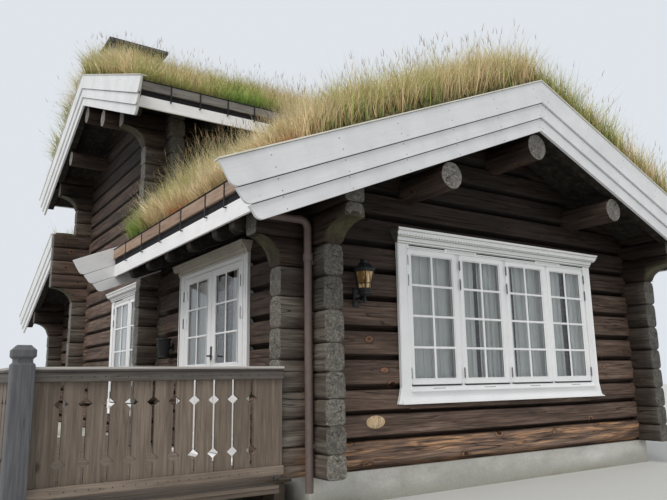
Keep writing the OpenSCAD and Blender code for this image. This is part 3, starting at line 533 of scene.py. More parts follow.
def tag(bm, verts, along):
    """Gives a board's vertices its own grain direction and tint."""
    grain, tint, weather = layers(bm, "grain", "tint", "weather")
    along = along.normalized()
    side = along.cross(Z_AXIS if abs(along.z) < 0.9 else X_AXIS).normalized()
    up = side.cross(along)
    shift = Vector((rng.uniform(0, 40), rng.uniform(0, 3), rng.uniform(0, 3)))
    value = rng.random()
    for vert in verts:
        vert[grain] = Vector((vert.co.dot(along), vert.co.dot(side), vert.co.dot(up))) + shift
        vert[tint] = value
        vert[weather] = EXPOSED


def edges_of(verts):
    return list({edge for vert in verts for edge in vert.link_edges})


def finish_form(bm, verts, along, material, edge=0.0, edges=None, segments=1):
    """Tags a new form, paints its faces and breaks its edges."""
    tag(bm, verts, along)
    for face in {face for vert in verts for face in vert.link_faces}:
        face.material_index = material
    if edge:
        bmesh.ops.bevel(
            bm, geom=edges_of(verts) if edges is None else edges, offset=edge, offset_type="OFFSET",
            segments=segments, profile=0.5, affect="EDGES", material=-1, clamp_overlap=True)


def add_board(bm, low, high, along=X_AXIS, edge=0.003, material=0):
    """A squared board between two corners, with broken edges."""
    low, high = Vector(low), Vector(high)
    verts = bmesh.ops.create_cube(bm, size=1.0)["verts"]
    bmesh.ops.scale(bm, vec=high - low, verts=verts)
    bmesh.ops.translate(bm, vec=(low + high) / 2, verts=verts)
    finish_form(bm, verts, along, material, edge)


def add_plate(bm, outline, place, depth, along, edge=0.0, material=0):
    """A flat outline (u, w), set by place(u, w, d) and extruded to the depth."""
    verts = [bm.verts.new(place(u, w, 0.0)) for u, w in outline]
    made = bmesh.ops.extrude_face_region(bm, geom=[bm.faces.new(verts)])["geom"]
    far = [item for item in made if isinstance(item, bmesh.types.BMVert)]
    bmesh.ops.translate(bm, vec=place(0, 0, depth) - place(0, 0, 0), verts=far)
    verts += far
    bmesh.ops.recalc_face_normals(bm, faces=list({face for vert in verts for face in vert.link_faces}))
    finish_form(bm, verts, along, material, edge)


def add_round(bm, start, end, radius, radius_end=None, sides=16, edge=0.0, material=0):
    """A straight round bar between two points."""
    start, end = Vector(start), Vector(end)
    axis = end - start
    verts = bmesh.ops.create_cone(
        bm, cap_ends=True, segments=sides, radius1=radius, depth=axis.length,
        radius2=radius if radius_end is None else radius_end)["verts"]
    turn = Z_AXIS.rotation_difference(axis.normalized()).to_matrix().to_4x4()
    bmesh.ops.transform(bm, matrix=Matrix.Translation((start + end) / 2) @ turn, verts=verts)
    rims = [e for e in edges_of(verts) if e.calc_face_angle(0.0) > 1.2] if edge else None
    finish_form(bm, verts, axis, material, edge, rims, 2)


def add_ball(bm, centre, radius, material=0, stretch=(1, 1, 1), subdivisions=2):
    verts = bmesh.ops.create_icosphere(bm, subdivisions=subdivisions, radius=radius)["verts"]
    bmesh.ops.scale(bm, vec=Vector(stretch), verts=verts)
    bmesh.ops.translate(bm, vec=Vector(centre), verts=verts)
    finish_form(bm, verts, Z_AXIS, material)


def roll_grid(bm, rows, columns, place, closed=True):
    """A grid whose vertices go to place(vert, row, column); closed joins its last column to its first."""
    verts = bmesh.ops.create_grid(bm, x_segments=columns, y_segments=rows - 1, size=1.0)["verts"]
    for index, vert in enumerate(verts):
        row, column = divmod(index, columns + 1)
        place(vert, row, column % columns if closed else column)
    if closed:
        bmesh.ops.remove_doubles(bm, verts=verts, dist=1e-5)
        return [vert for vert in verts if vert.is_valid]
    return verts


# Log walls

LOG_UP_SCALE = 1.02
GROOVE_WANDER = 0.009
FACE_HOLLOW = 0.007
CHECK_DEPTH = 0.011
CHECK_HALF = 0.018
CAP_RINGS = (0.0, 0.45, 0.8, 0.95)
HIDDEN_RINGS = (0.0, 0.95)
CAP_EDGE = 0.009
COVE_STEPS = 7
SHADE_DEPTH = 0.28
SHADE_FADE = 1.7
SPLASH = 0.45
SPLASH_HEIGHT = 0.30


def log_outline(cracked):
    """Points round a log as (across, up, across at a free end, up at a free end, is a crack's bottom).

    Along the wall the face is flat, with a cut under it; a free end is hewn fuller."""
    face = [(1.0, -0.56, 1.0, -0.62, 0)]
    if cracked:
        for middle in (rng.uniform(-0.28, -0.08), rng.uniform(0.10, 0.44)):
            levels = (middle - CHECK_HALF, middle, middle + CHECK_HALF)
            face += [(1.0, u, 1.0, u, u == middle) for u in levels]
    over = [(1.0, 0.76, 1.0, 0.50, 0), (0.95, 0.92, 0.85, 0.86, 0), (0.55, 1.0, 0.50, 1.0, 0)]
    under = [(0.97, -0.62, 0.93, -0.86, 0), (0.50, -0.75, 0.72, -0.97, 0), (0.28, -1.0, 0.36, -1.0, 0)]

    def mirrored(points):
        return [(-a, u, -b, v, crack) for a, u, b, v, crack in reversed(points)]

    return face + over + mirrored(over) + mirrored(face[:1]) + mirrored(under)[::-1] + under[::-1]


class Wall:
    """Where a wall's logs lie: their direction, middle plane, outer side, roof and coves."""

    coves = ()
    step = 0.15
    cracked = True
    shifts = {}
    rise = COURSE
    # lit is painted light: a factor on how bright the wall's logs are made, for how its side faces the light
    lit = 0.38
    right_bleach_in_shade = 1.0

    def __init__(self, along_x, plane, outer, roof, **settings):
        self.along_x = along_x
        self.plane = plane
        self.outer = outer
        self.roof = roof
        vars(self).update(settings)

    def past_corner(self, along):
        return any(side * (along - face) > -0.02 for side, face, _, _ in self.coves)

    def course_z(self, k):
        """Where a course's foot lies: the logs aren't all of one thickness."""
        return course_z(k) + self.shifts.get(k, 0.0)

    def point(self, along, across, z):
        if self.along_x:
            return Vector((along, self.plane + across, z))
        return Vector((self.plane + across, along, z))

    def coves_at(self, z0):
        return [cove for cove in self.coves if abs(cove[3] - z0) < 0.01]

    def lowest(self, along, z0):
        """The cove's curve above a log's bottom at z0, where the log stands out past the ends below."""
        for side, face, reach, cove_z in self.coves_at(z0):
            out = side * (along - face)
            if out > LOG_END:
                bend = min(1.0, (out - LOG_END) / (reach - LOG_END))
                return cove_z + self.rise * math.sin(math.acos(1 - bend))
        return -1.0


def lay_log(bm, wall, z0, z1, start, end, showing=(True, True)):
    outline = log_outline(wall.cracked)
    free_ends = [edge for edge, shows in zip((start, end), showing) if shows]
    seed = rng.uniform(0, 90)
    tint_value = rng.random()
    middle = (z0 + z1) / 2
    half_t = LOG_T / 2
    steps = max(2, round((end - start) / wall.step))
    stations = [start + CAP_EDGE + (end - start - 2 * CAP_EDGE) * i / steps for i in range(steps + 1)]
    for side, face, reach, _ in wall.coves_at(z0):
        bends = [face + side * (LOG_END + (reach - LOG_END) * i / COVE_STEPS) for i in range(COVE_STEPS)]
        stations = sorted(stations + [b for b in bends if start + CAP_EDGE < b < end - CAP_EDGE])
    caps = [[(edge, f) for f in (CAP_RINGS if shows else HIDDEN_RINGS)]
            for edge, shows in zip((start, end), showing)]
    rows = caps[0] + [(s, 1.0) for s in stations] + caps[1][::-1]
    grain, tint, exposed = layers(bm, "grain", "tint", "weather")
    bleach, moss, groove = layers(bm, "bleach", "moss", "groove")
    roof_here = min(wall.roof(start, 0.0), wall.roof(end, 0.0))
    # The weather value is partly painted shade: it falls off under the roof and with the wall's lit factor,
    # and it rises at the foot of the wall
    weather = wall.lit * clamp((roof_here - middle - SHADE_DEPTH) / SHADE_FADE) * rng.uniform(0.8, 1.0)
    weather = min(1.15, weather + wall.lit * SPLASH * max(0.0, 1 - (middle - PLINTH) / SPLASH_HEIGHT))
    above_cove = any(z0 > cove_z - 0.01 for _, _, _, cove_z in wall.coves)

    def wander(along, level):
        return GROOVE_WANDER * noise.noise(Vector((along * 0.8, level * 9.1, wall.plane * 3.7)))

    def place(vert, row, column):
        along, spread = rows[row]
        across, up, end_across, end_up, crack = outline[column]
        nearest = min((abs(along - e) for e in free_ends), default=9.0)
        full = 1.0 if wall.past_corner(along) else clamp((LOG_END + LOG_T * 0.6 - nearest) / (LOG_T * 0.5))
        under = up < -0.6 and z0 > PLINTH + 0.01
        # Painted shade in the grooves: under each log's cut and along its top, away from the free ends
        vert[groove] = (1 - full) * (1.0 if under or up == 1.0 else 0.2 if up > 0.9 else 0.0)
        across += (end_across - across) * full
        up += (end_up - up) * full
        hollow = FACE_HOLLOW * (0.5 + 0.5 * noise.noise(Vector((along * 2.3, across * 1.5 + seed, up * 1.7))))
        hollow += 0.002 * noise.noise(Vector((along * 9.0, across * 3 + seed, up * 5)))
        if crack:
            hollow += CHECK_DEPTH * max(0.0, 1.7 * noise.noise(Vector((along * 1.3, up * 40, seed))))
        side = across * (half_t - abs(across) * hollow) * spread
        rise = up * (z1 - z0) / 2 * LOG_UP_SCALE * spread
        z = middle + rise + wander(along, z1 if up > 0 else z0) * abs(up) * spread
        cove = min(wall.lowest(along, z0), z1)
        vert[moss] = 1.0 if z < cove else 0.0
        # Log ends bleach grey; as painted shade, the right ends keep only the wall's share of it, and the
        # ends above the cove, under the roof, a quarter
        pale = clamp((LOG_END - 0.02 - nearest) / 0.12) * (wall.right_bleach_in_shade if along > 0 else 1)
        vert[bleach] = pale * 0.25 if above_cove else pale
        z = min(max(z, cove), wall.roof(along, side * wall.outer) - 0.004)
        vert.co = wall.point(along, side * wall.outer, z)
        vert[grain] = Vector((along + seed, side, z - middle))
        vert[tint] = tint_value
        vert[exposed] = weather

    roll_grid(bm, len(rows), len(outline), place)


def course_pieces(start, end, low, high, holes):
    """The stretches of a course that are left beside, over and under the holes."""
    stretches = [(start, end, low, high)]
    for h0, h1, hole_low, hole_high in holes:
        if min(high, hole_high) - max(low, hole_low) < 0.03:
            continue
        kept = []
        for s0, s1, z0, z1 in stretches:
            if h1 <= s0 or h0 >= s1:
                kept.append((s0, s1, z0, z1))
                continue
            kept += [(s0, h0, z0, z1), (h1, s1, z0, z1)]
            if z1 - hole_high > 0.03:
                kept.append((h0, h1, hole_high, z1))
            if hole_low - z0 > 0.03:
                kept.append((h0, h1, z0, hole_low))
        stretches = kept
    return [s for s in stretches if s[1] - s[0] > 0.06]


def lay_wall(bm, wall, first, last, span, holes=(), foot=None):
    """Lays the courses from first to last.

    span(height) gives each log's ends, and foot says which ends of the half log at the bottom are free."""
    if foot:
        lay_log(bm, wall, PLINTH, wall.course_z(first), *span(0), foot)
    k = first
    while k < last:
        z0 = wall.course_z(k)
        z1 = min(wall.course_z(k + 1), course_z(last))
        ends = span((z0 + z1) / 2)
        if ends and ends[1] - ends[0] > 0.15:
            for s0, s1, low, high in course_pieces(*ends, z0, z1, holes):
                free = (abs(s0 - ends[0]) < 0.001, abs(s1 - ends[1]) < 0.001)
                lay_log(bm, wall, low, high, s0 + 0.012 * rng.random() * free[0],
                        s1 - 0.012 * rng.random() * free[1], free)
        k += 1


def finish_logs(name, bm, along_x, nodes):
    """Gives the cut finish to the free ends and makes the logs a piece."""
    bmesh.ops.dissolve_degenerate(bm, dist=1e-5, edges=bm.edges)
    bmesh.ops.recalc_face_normals(bm, faces=bm.faces)
    bm.normal_update()
    axis = 0 if along_x else 1
    moss, bleach = layers(bm, "moss", "bleach")
    for face in bm.faces:
        free_end = any(vert[bleach] for vert in face.verts) and not any(vert[moss] for vert in face.verts)
        face.material_index = 1 if free_end and abs(face.normal[axis]) > 0.85 else 0
    piece(name, bm, (LOG, LOG_CUT), stands_for=nodes, crease=55)


def build_wall(name, wall, first, last, span, holes, nodes, foot=None):
    shape = new_shape()
    lay_wall(shape, wall, first, last, span, holes, foot)
    finish_logs(name, shape, wall.along_x, nodes)


def corner_coves(reach, cove_z):
    return [(side, side * HALF, reach, cove_z) for side in SIDES]


def gable_reach(z, reach, top, half):
    """How far a gable's log reaches before the roof cuts it off."""
    return min(reach, half + (top - z + COURSE / 2) / SLOPE)


GLASS_FRONT = (0.983, 2.120)
GLASS_SIDE = (0.760, 2.120)
FRONT_HALF = 1.4105
FRONT_WINDOW_X = 0.016
SIDE_HALF = 0.8755
SIDE_WINDOW_Y = CROSS + 1.2
CASING = 0.11
DOOR_Y = (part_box("door_frame")[0].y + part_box("door_frame")[1].y) / 2
DOOR_HOLE = (DOOR_Y - 0.801, DOOR_Y + 0.801, 0.0, 2.201)
CROSS_DOOR = (-0.45, 0.45, 0.0, 2.35)
REAR_DOOR = (0.30, 1.20, 0.0, 2.17)

# How far each course lies off an even one, by its number: the side walls' lie half a course off
FRONT_SHIFTS = {1: -0.007, 2: -0.036, 3: -0.068, 4: -0.050, 5: -0.050, 6: -0.025, 7: -0.018, 8: -0.021}
SIDE_SHIFTS = {0.5: 0.067, 1.5: 0.030, 3.5: -0.034, 4.5: -0.054, 5.5: -0.033, 7.5: 0.025, 8.5: 0.055}
SIDE_COVE_RISE = 0.16


def window_hole(middle, half, glass):
    inner = half - CASING + 0.001
    return (middle - inner, middle + inner, glass[0] - 0.121, glass[1] + 0.051)


def front_gable_wall():
    cove_z = course_z(7) + FRONT_SHIFTS[7]
    wall = Wall(True, 0.0, -1, lambda along, across: wing_z(along), coves=corner_coves(FRONT_REACH, cove_z),
                step=0.11, shifts=FRONT_SHIFTS, lit=1.0, right_bleach_in_shade=0.2)

    def span(z):
        reach = gable_reach(z, HALF + FRONT_REACH if z > cove_z else LOG_REACH, WING_TOP, HALF)
        return (-reach, reach) if reach > 0.2 else None

    hole = window_hole(FRONT_WINDOW_X, FRONT_HALF, GLASS_FRONT)
    build_wall("front_logs", wall, 0, 14, span, [hole], ["front_wall"])


def wing_side_walls():
    cove_z = course_z(7.5) + SIDE_SHIFTS[7.5]

    def span(z):
        return (FRONT - (EAVE_REACH if z > cove_z else LOG_END), CROSS + 0.01)

    # Painted light: the right wall, turned from the light, has lit 0.03 and its logs are painted nearly black
    for side, name, step, lit, holes, nodes in (
            (-1, "wing_left_logs", 0.12, 0.38, [DOOR_HOLE],
             ["wing_left_wall_near", "wing_left_wall_far", "wing_left_wall_over_door"]),
            (1, "wing_right_logs", 0.2, 0.03, [], ["wing_right_wall"])):
        wall = Wall(False, side * SIDE_X, side, lambda along, across: wing_z(side * SIDE_X + across),
                    coves=[(-1, FRONT, EAVE_REACH, cove_z)], step=step, shifts=SIDE_SHIFTS,
                    rise=SIDE_COVE_RISE, lit=lit)
        build_wall(name, wall, 0.5, 10.5, span, holes, nodes, (True, False))


def tall_eave_walls():
    top_cove = course_z(16)
    low_cove = course_z(9)
    for plane, name, node, door, stack in (
            (CROSS + LOG_T / 2, "cross_logs", "cross_wall", CROSS_DOOR, False),
            (REAR - LOG_T / 2, "tall_rear_logs", "tall_rear_wall", REAR_DOOR, True)):
        coves = corner_coves(EAVE_REACH, top_cove) + (corner_coves(STACK_REACH, low_cove) if stack else [])

        def span(z):
            reach = LOG_REACH
            if z > top_cove:
                reach = HALF + EAVE_REACH
            elif stack and low_cove < z < course_z(14):
                reach = HALF + STACK_REACH
            return (-reach, reach)

        wall = Wall(True, plane, 1 if stack else -1, lambda along, across: tall_z(plane + across - RIDGE_Y),
                    coves=coves, step=0.17, cracked=False)
        build_wall(name, wall, 0, 19, span, [door], [node])


def tall_gable_walls():
    def span(z):
        start = CROSS - (LOG_END if z > course_z(11.5) else 0.0)
        end = REAR + (LOG_END if z > course_z(14.5) else 0.0)
        cut = TALL_HALF + (TALL_TOP - z + COURSE / 2) / SLOPE
        start, end = max(start, RIDGE_Y - cut), min(end, RIDGE_Y + cut)
        return (start, end) if end - start > 0.3 else None

    hole = window_hole(SIDE_WINDOW_Y, SIDE_HALF, GLASS_SIDE)
    for side, word, step in ((-1, "left", 0.13), (1, "right", 0.2)):
        wall = Wall(False, side * SIDE_X, side, lambda along, across: tall_z(along - RIDGE_Y), step=step)
        name = "tall_%s_" % word
        build_wall(name + "logs", wall, 0.5, 22.5, span, [hole], [name + "wall"], (False, False))


def leanto_walls():
    def side_span(z):
        end = min(LEANTO + LOG_END, REAR + (leanto_z(0) - z + COURSE / 2) / SLOPE)
        return (REAR - 0.01, end)

    shape = new_shape()
    for side in SIDES:
        wall = Wall(False, side * SIDE_X, side, lambda along, across: leanto_z(along - REAR), step=0.2,
                    cracked=side < 0)
        lay_wall(shape, wall, 0.5, 13.5, side_span, foot=(False, True))
    finish_logs("leanto_side_logs", shape, False, ["leanto_side_walls"])

    cove_z = course_z(7)
    plane = LEANTO - LOG_T / 2
    wall = Wall(True, plane, 1, lambda along, across: leanto_z(plane + across - REAR),
                coves=corner_coves(LEANTO_REACH, cove_z), step=0.2)

    def rear_span(z):
        reach = HALF + LEANTO_REACH if z > cove_z else LOG_REACH
        return (-reach, reach)

    build_wall("leanto_rear_logs", wall, 0, 10, rear_span, [], ["leanto_rear_wall"])


front_gable_wall()
wing_side_walls()
tall_eave_walls()
tall_gable_walls()
leanto_walls()


# Purlins: round logs with checked ends

RIDGE_R = 0.137
MID_R = 0.130
RAFTER = 0.132
WING_MID = 1.186
TALL_MID = 1.030
# The purlins take almost no weather, so they are painted dark as in the shade under the roof
PURLIN_WEATHER_IN_SHADE = 0.02
PURLIN_SIDES = 22
PURLIN_RINGS = (0.0, 0.3, 0.6, 0.85, 0.97)
PURLIN_DENT = 0.010


def add_purlin(bm, wall, z, radius, start, end):
    seed = rng.uniform(0, 90)
    tint_value = rng.random()
    steps = max(3, round((end - start) / 0.3))
    stations = [start + 0.012 + (end - start - 0.024) * i / steps for i in range(steps + 1)]
    rows = [(start, f) for f in PURLIN_RINGS] + [(s, 1.0) for s in stations]
    rows += [(end, f) for f in PURLIN_RINGS[::-1]]
    grain, tint, exposed = layers(bm, "grain", "tint", "weather")

    def place(vert, row, column):
        along, spread = rows[row]
        angle = math.tau * column / PURLIN_SIDES
        spot = Vector((math.cos(angle) * 1.6 + seed, math.sin(angle) * 1.6, along * 0.7))
        r = (radius - PURLIN_DENT * (0.5 + 0.5 * noise.noise(spot))) * spread
        across, rise = r * math.cos(angle), r * math.sin(angle)
        vert.co = wall.point(along, across, z + rise)
        vert[grain] = Vector((along + seed, across, rise))
        vert[tint] = tint_value
        vert[exposed] = PURLIN_WEATHER_IN_SHADE

    roll_grid(bm, len(rows), PURLIN_SIDES, place)


def purlins(name, node, along_x, ridge, spread, height):
    shape = new_shape()
    low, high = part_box(node)
    axis = 0 if along_x else 1
    for away, radius in ((0.0, RIDGE_R), (-spread, MID_R), (spread, MID_R)):
        z = height(away) - RAFTER - radius / PITCH_COS - 0.001
        add_purlin(shape, Wall(along_x, ridge + away, 1, None), z, radius, low[axis], high[axis])
    bmesh.ops.recalc_face_normals(shape, faces=shape.faces)
    shape.normal_update()
    for face in shape.faces:
        face.material_index = 1 if abs(face.normal[axis]) > 0.85 else 0
    piece(name, shape, (LOG, PURLIN_CUT), stands_for=[node], crease=50)


purlins("wing_purlin_logs", "wing_purlins", False, 0.0, WING_MID, wing_z)
purlins("tall_purlin_logs", "tall_purlins", True, RIDGE_Y, TALL_MID, tall_z)


# Barges: three boards stepping back, a drip cap on the top edge and nails in pairs

BARGE_RISE = 0.373
BARGE_EDGES = (0.0, 0.205, 0.343, 0.468)
BARGE_STEP = 0.020
BARGE_T = 0.071
BARGE_BACK = 0.060
BARGE_ROUND = 0.060
BARGE_GAP = 0.006
BOARD_T = 0.026
NAIL_R = 0.0045
WING_TIP = HALF + 0.594 + 0.497
TALL_TIP = TALL_HALF + 0.676 + 0.444
LEANTO_TIP = LEANTO - REAR + 0.618 + 0.497


def on_slope(s, n):
    """A point s down the slope and n below its upper edge, as (u, z)."""
    return (s * PITCH_COS - n * PITCH_SIN, -s * PITCH_SIN - n * PITCH_COS)


def barge_board(tip, step):
    """One board of a barge, from a plumb cut at the ridge to its rounded tail."""
    s1 = tip / PITCH_COS - BARGE_BACK * step
    n0 = BARGE_EDGES[step] + (BARGE_GAP if step else 0)
    n1 = BARGE_EDGES[step + 1]
    outline = [(0.0, -n0 / PITCH_COS), on_slope(s1, n0)]
    for i in range(6):
        a = math.radians(18 * i)
        tail = s1 - 0.02 - BARGE_ROUND * (1 - math.cos(a))
        outline.append(on_slope(tail, n1 - BARGE_ROUND * (1 - math.sin(a))))
    return outline + [(0.0, -n1 / PITCH_COS)]


def add_barge(bm, set_at, tip):
    """set_at(u, z, d) gives a point u out from the ridge, z above its apex and d in from the outer face."""
    down = set_at(1, -SLOPE, 0) - set_at(0, 0, 0)
    length = tip / PITCH_COS

    def strip(end, n0, n1, d0, d1, material):
        outline = [(0.0, -n0 / PITCH_COS), on_slope(end, n0), on_slope(end, n1), (0.0, -n1 / PITCH_COS)]
        add_plate(bm, outline, lambda u, w, d: set_at(u, w, d0 + d), d1 - d0, down, 0.0, material)

    strip(length - 0.15, 0.004, 0.36, 0.047, BARGE_T, 0)
    for step in range(3):
        back = BARGE_STEP * step
        edge = BARGE_EDGES[step]
        thick = BOARD_T + (0.005 if step == 2 else 0.0)
        add_plate(bm, barge_board(tip, step), lambda u, w, d: set_at(u, w, back + d), thick, down, 0.0015, 0)
        # Painted shade: a dark strip in the iron finish behind the gap over each lower board
        if step:
            strip(length - BARGE_BACK * step - 0.03, edge - 0.03, edge + 0.03, 0.0445, 0.0475, 2)
        nailed = length - 0.25
        count = int(nailed / 0.6)
        for i in range(count + 1):
            for shift in (-0.045, 0.045):
                u, w = on_slope(0.16 + nailed * i / (count + 0.5), (edge + BARGE_EDGES[step + 1]) / 2 + shift)
                head, foot = set_at(u, w, back + 0.0006), set_at(u, w, back + 0.004)
                add_round(bm, foot, head + (head - foot) * 0.25, NAIL_R, sides=8, material=2)
    cap = [(0.0, 0.003), on_slope(length + 0.002, -0.003), on_slope(length + 0.002, -0.014), (0.0, 0.015)]
    add_plate(bm, cap, lambda u, w, d: set_at(u, w, d - 0.012), BARGE_T + 0.014, down, 0.002, 1)


def barge_piece(name, bm):
    piece(name, bm, (BARGE, DRIP, IRON_AND_GAP_SHADE), stands_for=[name[:-1] + "_boards"])


def wing_barges():
    """The front barges, and the short boards on the eave's rear ends."""
    y0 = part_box("wing_barge_boards")[0].y
    apex = wing_z(0) + BARGE_RISE
    rear_y = CROSS - 0.075
    low = HALF + 0.005
    shape = new_shape()
    for side in SIDES:
        add_barge(shape, lambda u, z, d: Vector((side * (u + 0.0006), y0 + d, apex + z)), WING_TIP)
    for side in SIDES:
        for step in range(3):
            outline = barge_board(WING_TIP, step)
            for end, edge in ((0, BARGE_EDGES[step]), (-1, BARGE_EDGES[step + 1])):
                outline[end] = (low, -(low * SLOPE) - edge / PITCH_COS)
            add_plate(shape, outline, lambda u, w, d: Vector((side * u, rear_y + d, apex + w)),
                      0.030 - 0.004 * step, Vector((side, 0, -SLOPE)), 0.003, 0)
    barge_piece("wing_barges", shape)


def side_barges(name, ridge, ways, height, tip, gap):
    """Barges on the left and right ends of a roof, running from its ridge in each way."""
    x0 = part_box(name[:-1] + "_boards")[1].x
    apex = height(0) + BARGE_RISE
    shape = new_shape()
    for side in SIDES:
        for way in ways:
            def set_at(u, z, d):
                return Vector((side * (x0 - d), ridge + way * (u + gap), apex + z))

            add_barge(shape, set_at, tip)
    barge_piece(name, shape)


wing_barges()
side_barges("tall_barges", RIDGE_Y, SIDES, tall_z, TALL_TIP, 0.0006)
side_barges("leanto_barges", REAR, (1,), leanto_z, LEANTO_TIP, 0.002)


# The five turfed slopes

EAVE_T = 0.025
EAVE_H = 0.150
EAVE_DROP = 0.015
MEMBRANE_H = 0.070
PLANK_H = 0.120
PLANK_T = 0.045
WING_OUT = HALF + 0.594 - EAVE_T
TALL_OUT = TALL_HALF + 0.676 - EAVE_T
LEANTO_OUT = LEANTO - REAR + 0.618 - EAVE_T
GABLE_X = HALF + 0.688 - BARGE_T
LEANTO_X = HALF + 0.620 - BARGE_T
WING_Y = (FRONT - 0.671 + BARGE_T, CROSS - 0.075)
UNDER_EAVE = CROSS - 0.74
GRASS_END = CROSS - 0.60
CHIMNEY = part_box("chimney_stack")
SKIN_BUMP = 0.035
TURF_DEPTHS = ((0.0, 0.24), (0.25, 0.27), (0.5, 0.27), (0.8, 0.24), (1.0, 0.17))


def turf_lift(t):
    """Thickness of the turf at a share t of the way from the ridge to the eave."""
    t = clamp(t)
    for (t0, h0), (t1, h1) in zip(TURF_DEPTHS, TURF_DEPTHS[1:]):
        if t <= t1:
            return h0 + (h1 - h0) * (t - t0) / (t1 - t0)


def wing_growth(u, a):
    """Longest before the tall block's eave, short under it, none where its log ends stand."""
    if abs(abs(u) - SIDE_X) < 0.2 and a > CROSS - LOG_END - 0.12:
        return 0.0
    if a > UNDER_EAVE and abs(u) < HALF + 0.2:
        return 0.5
    if a > GRASS_END and abs(u) > HALF + 0.2:
        return 0.0
    far = clamp((a - 1.2) / 0.8)
    end = clamp((a - 2.4) / 0.9) * clamp((abs(u) - 1.7) / 0.9)
    return 1.0 + 0.32 * far - 0.55 * end


def round_chimney(ridge, length):
    """Grass of one length, with none where the chimney comes through."""
    def grow(u, a):
        low, high = CHIMNEY
        inside = low.x - 0.08 < a < high.x + 0.08 and low.y - 0.08 < ridge + u < high.y + 0.08
        return 0.0 if inside else length
    return grow


class Slope:
    """A turfed slope: at(u, a, z) is a point u out from the ridge and a along it.

    outward and along are its level directions, height(u) is the walls' top, grow(u, a) scales its grass."""

    def __init__(self, name, at, outward, along, height, out, ends, grow):
        self.name = name
        self.at = at
        self.outward = outward
        self.along = along
        self.height = height
        self.out = out
        self.ends = ends
        self.grow = grow
        self.wing = name.startswith("wing")

    def base(self, u, a):
        """A point on the roof boards."""
        return self.at(u, a, self.height(u) + ROOF_BOARDS + 0.001)

    def top(self, u, a):
        base = self.base(u, a)
        rough = noise.noise(base * 2.1) * 0.6 + noise.noise(base * 7.0) * 0.4
        return base + Z_AXIS * (turf_lift(u / self.out) + SKIN_BUMP * (0.35 + rough))


SLOPES = [
    Slope("wing_left", lambda u, a, z: Vector((-u, a, z)), -X_AXIS, Y_AXIS, wing_z,
          WING_OUT, WING_Y, wing_growth),
    Slope("wing_right", lambda u, a, z: Vector((u, a, z)), X_AXIS, Y_AXIS, wing_z,
          WING_OUT, WING_Y, wing_growth),
    Slope("tall_front", lambda u, a, z: Vector((a, RIDGE_Y - u, z)), -Y_AXIS, X_AXIS, tall_z,
          TALL_OUT, (-GABLE_X, GABLE_X), lambda u, a: 1.0),
    Slope("tall_rear", lambda u, a, z: Vector((a, RIDGE_Y + u, z)), Y_AXIS, X_AXIS, tall_z,
          TALL_OUT, (-GABLE_X, GABLE_X), round_chimney(RIDGE_Y, 1.0)),
    Slope("leanto", lambda u, a, z: Vector((a, REAR + u, z)), Y_AXIS, X_AXIS, leanto_z,
          LEANTO_OUT, (-LEANTO_X, LEANTO_X), round_chimney(REAR, 0.5)),
]


# Eave boards, turf planks and their hooks

WING_HOOKS = (0.17, 0.84, 1.51, 2.18, 3.17, 4.17, 5.17, 6.17)
HOOK_PITCH = 0.39
HOOK_HALF = 0.009
HOOK_T = 0.006


def eave_trim():
    boards = new_shape()
    planks = new_shape()
    for slope in SLOPES:
        z = slope.height(slope.out) - EAVE_DROP
        a0, a1 = slope.ends
        length = a1 - a0

        def trim(bm, out0, out1, s0, s1, z0, z1, edge, material=0, along=slope.along):
            corners = slope.at(slope.out + out0, s0, z0), slope.at(slope.out + out1, s1, z1)
            low, high = zip(*[(min(pair), max(pair)) for pair in zip(*corners)])
            add_board(bm, low, high, along, edge, material)

        parts = 2 if length > 5 else 1
        for i in range(parts):
            s0 = a0 + length * i / parts + 0.001
            s1 = a0 + length * (i + 1) / parts - 0.001
            trim(boards, 0, EAVE_T, s0, s1, z, z + EAVE_H, 0.003)
        low = z + EAVE_H + MEMBRANE_H
        high = low + PLANK_H
        front = PLANK_T + HOOK_T
        trim(planks, 0, EAVE_T - 0.004, a0, a1, z + EAVE_H, low + 0.01, 0.0, 2)
        trim(planks, -0.02, front, a0, a1, high - 0.004, high + 0.008, 0.002, 2)
        hooks = [a0 + 0.60 * turn for turn in WING_HOOKS]
        if not slope.wing:
            hooks = [a0 + 0.06 + HOOK_PITCH * i for i in range(round(length / HOOK_PITCH))]
        edges = [a0 - 0.005] + hooks + [a1 + 0.005]
        for s0, s1 in zip(edges, edges[1:]):
            trim(planks, 0.001, PLANK_T, s0 + 0.005, s1 - 0.005, low, high, 0.005, 0 if slope.wing else 1)
        for s in hooks:
            s0, s1, foot = s - HOOK_HALF, s + HOOK_HALF, z + EAVE_H
            trim(planks, PLANK_T, front, s0, s1, foot - 0.02, high + 0.012, 0.001, 3, Z_AXIS)
            trim(planks, 0.004, front, s0, s1, foot - 0.026, foot - 0.018, 0.001, 3)
    piece("eave_fascia", boards, (FASCIA,), stands_for=["eave_boards"])
    piece("turf_retaining_planks", planks, (PLANK, GREY_PLANK, FELT_AND_SLOT_SHADE, IRON_AND_GAP_SHADE),
          stands_for=["turf_planks"])


eave_trim()


# Turf and grass

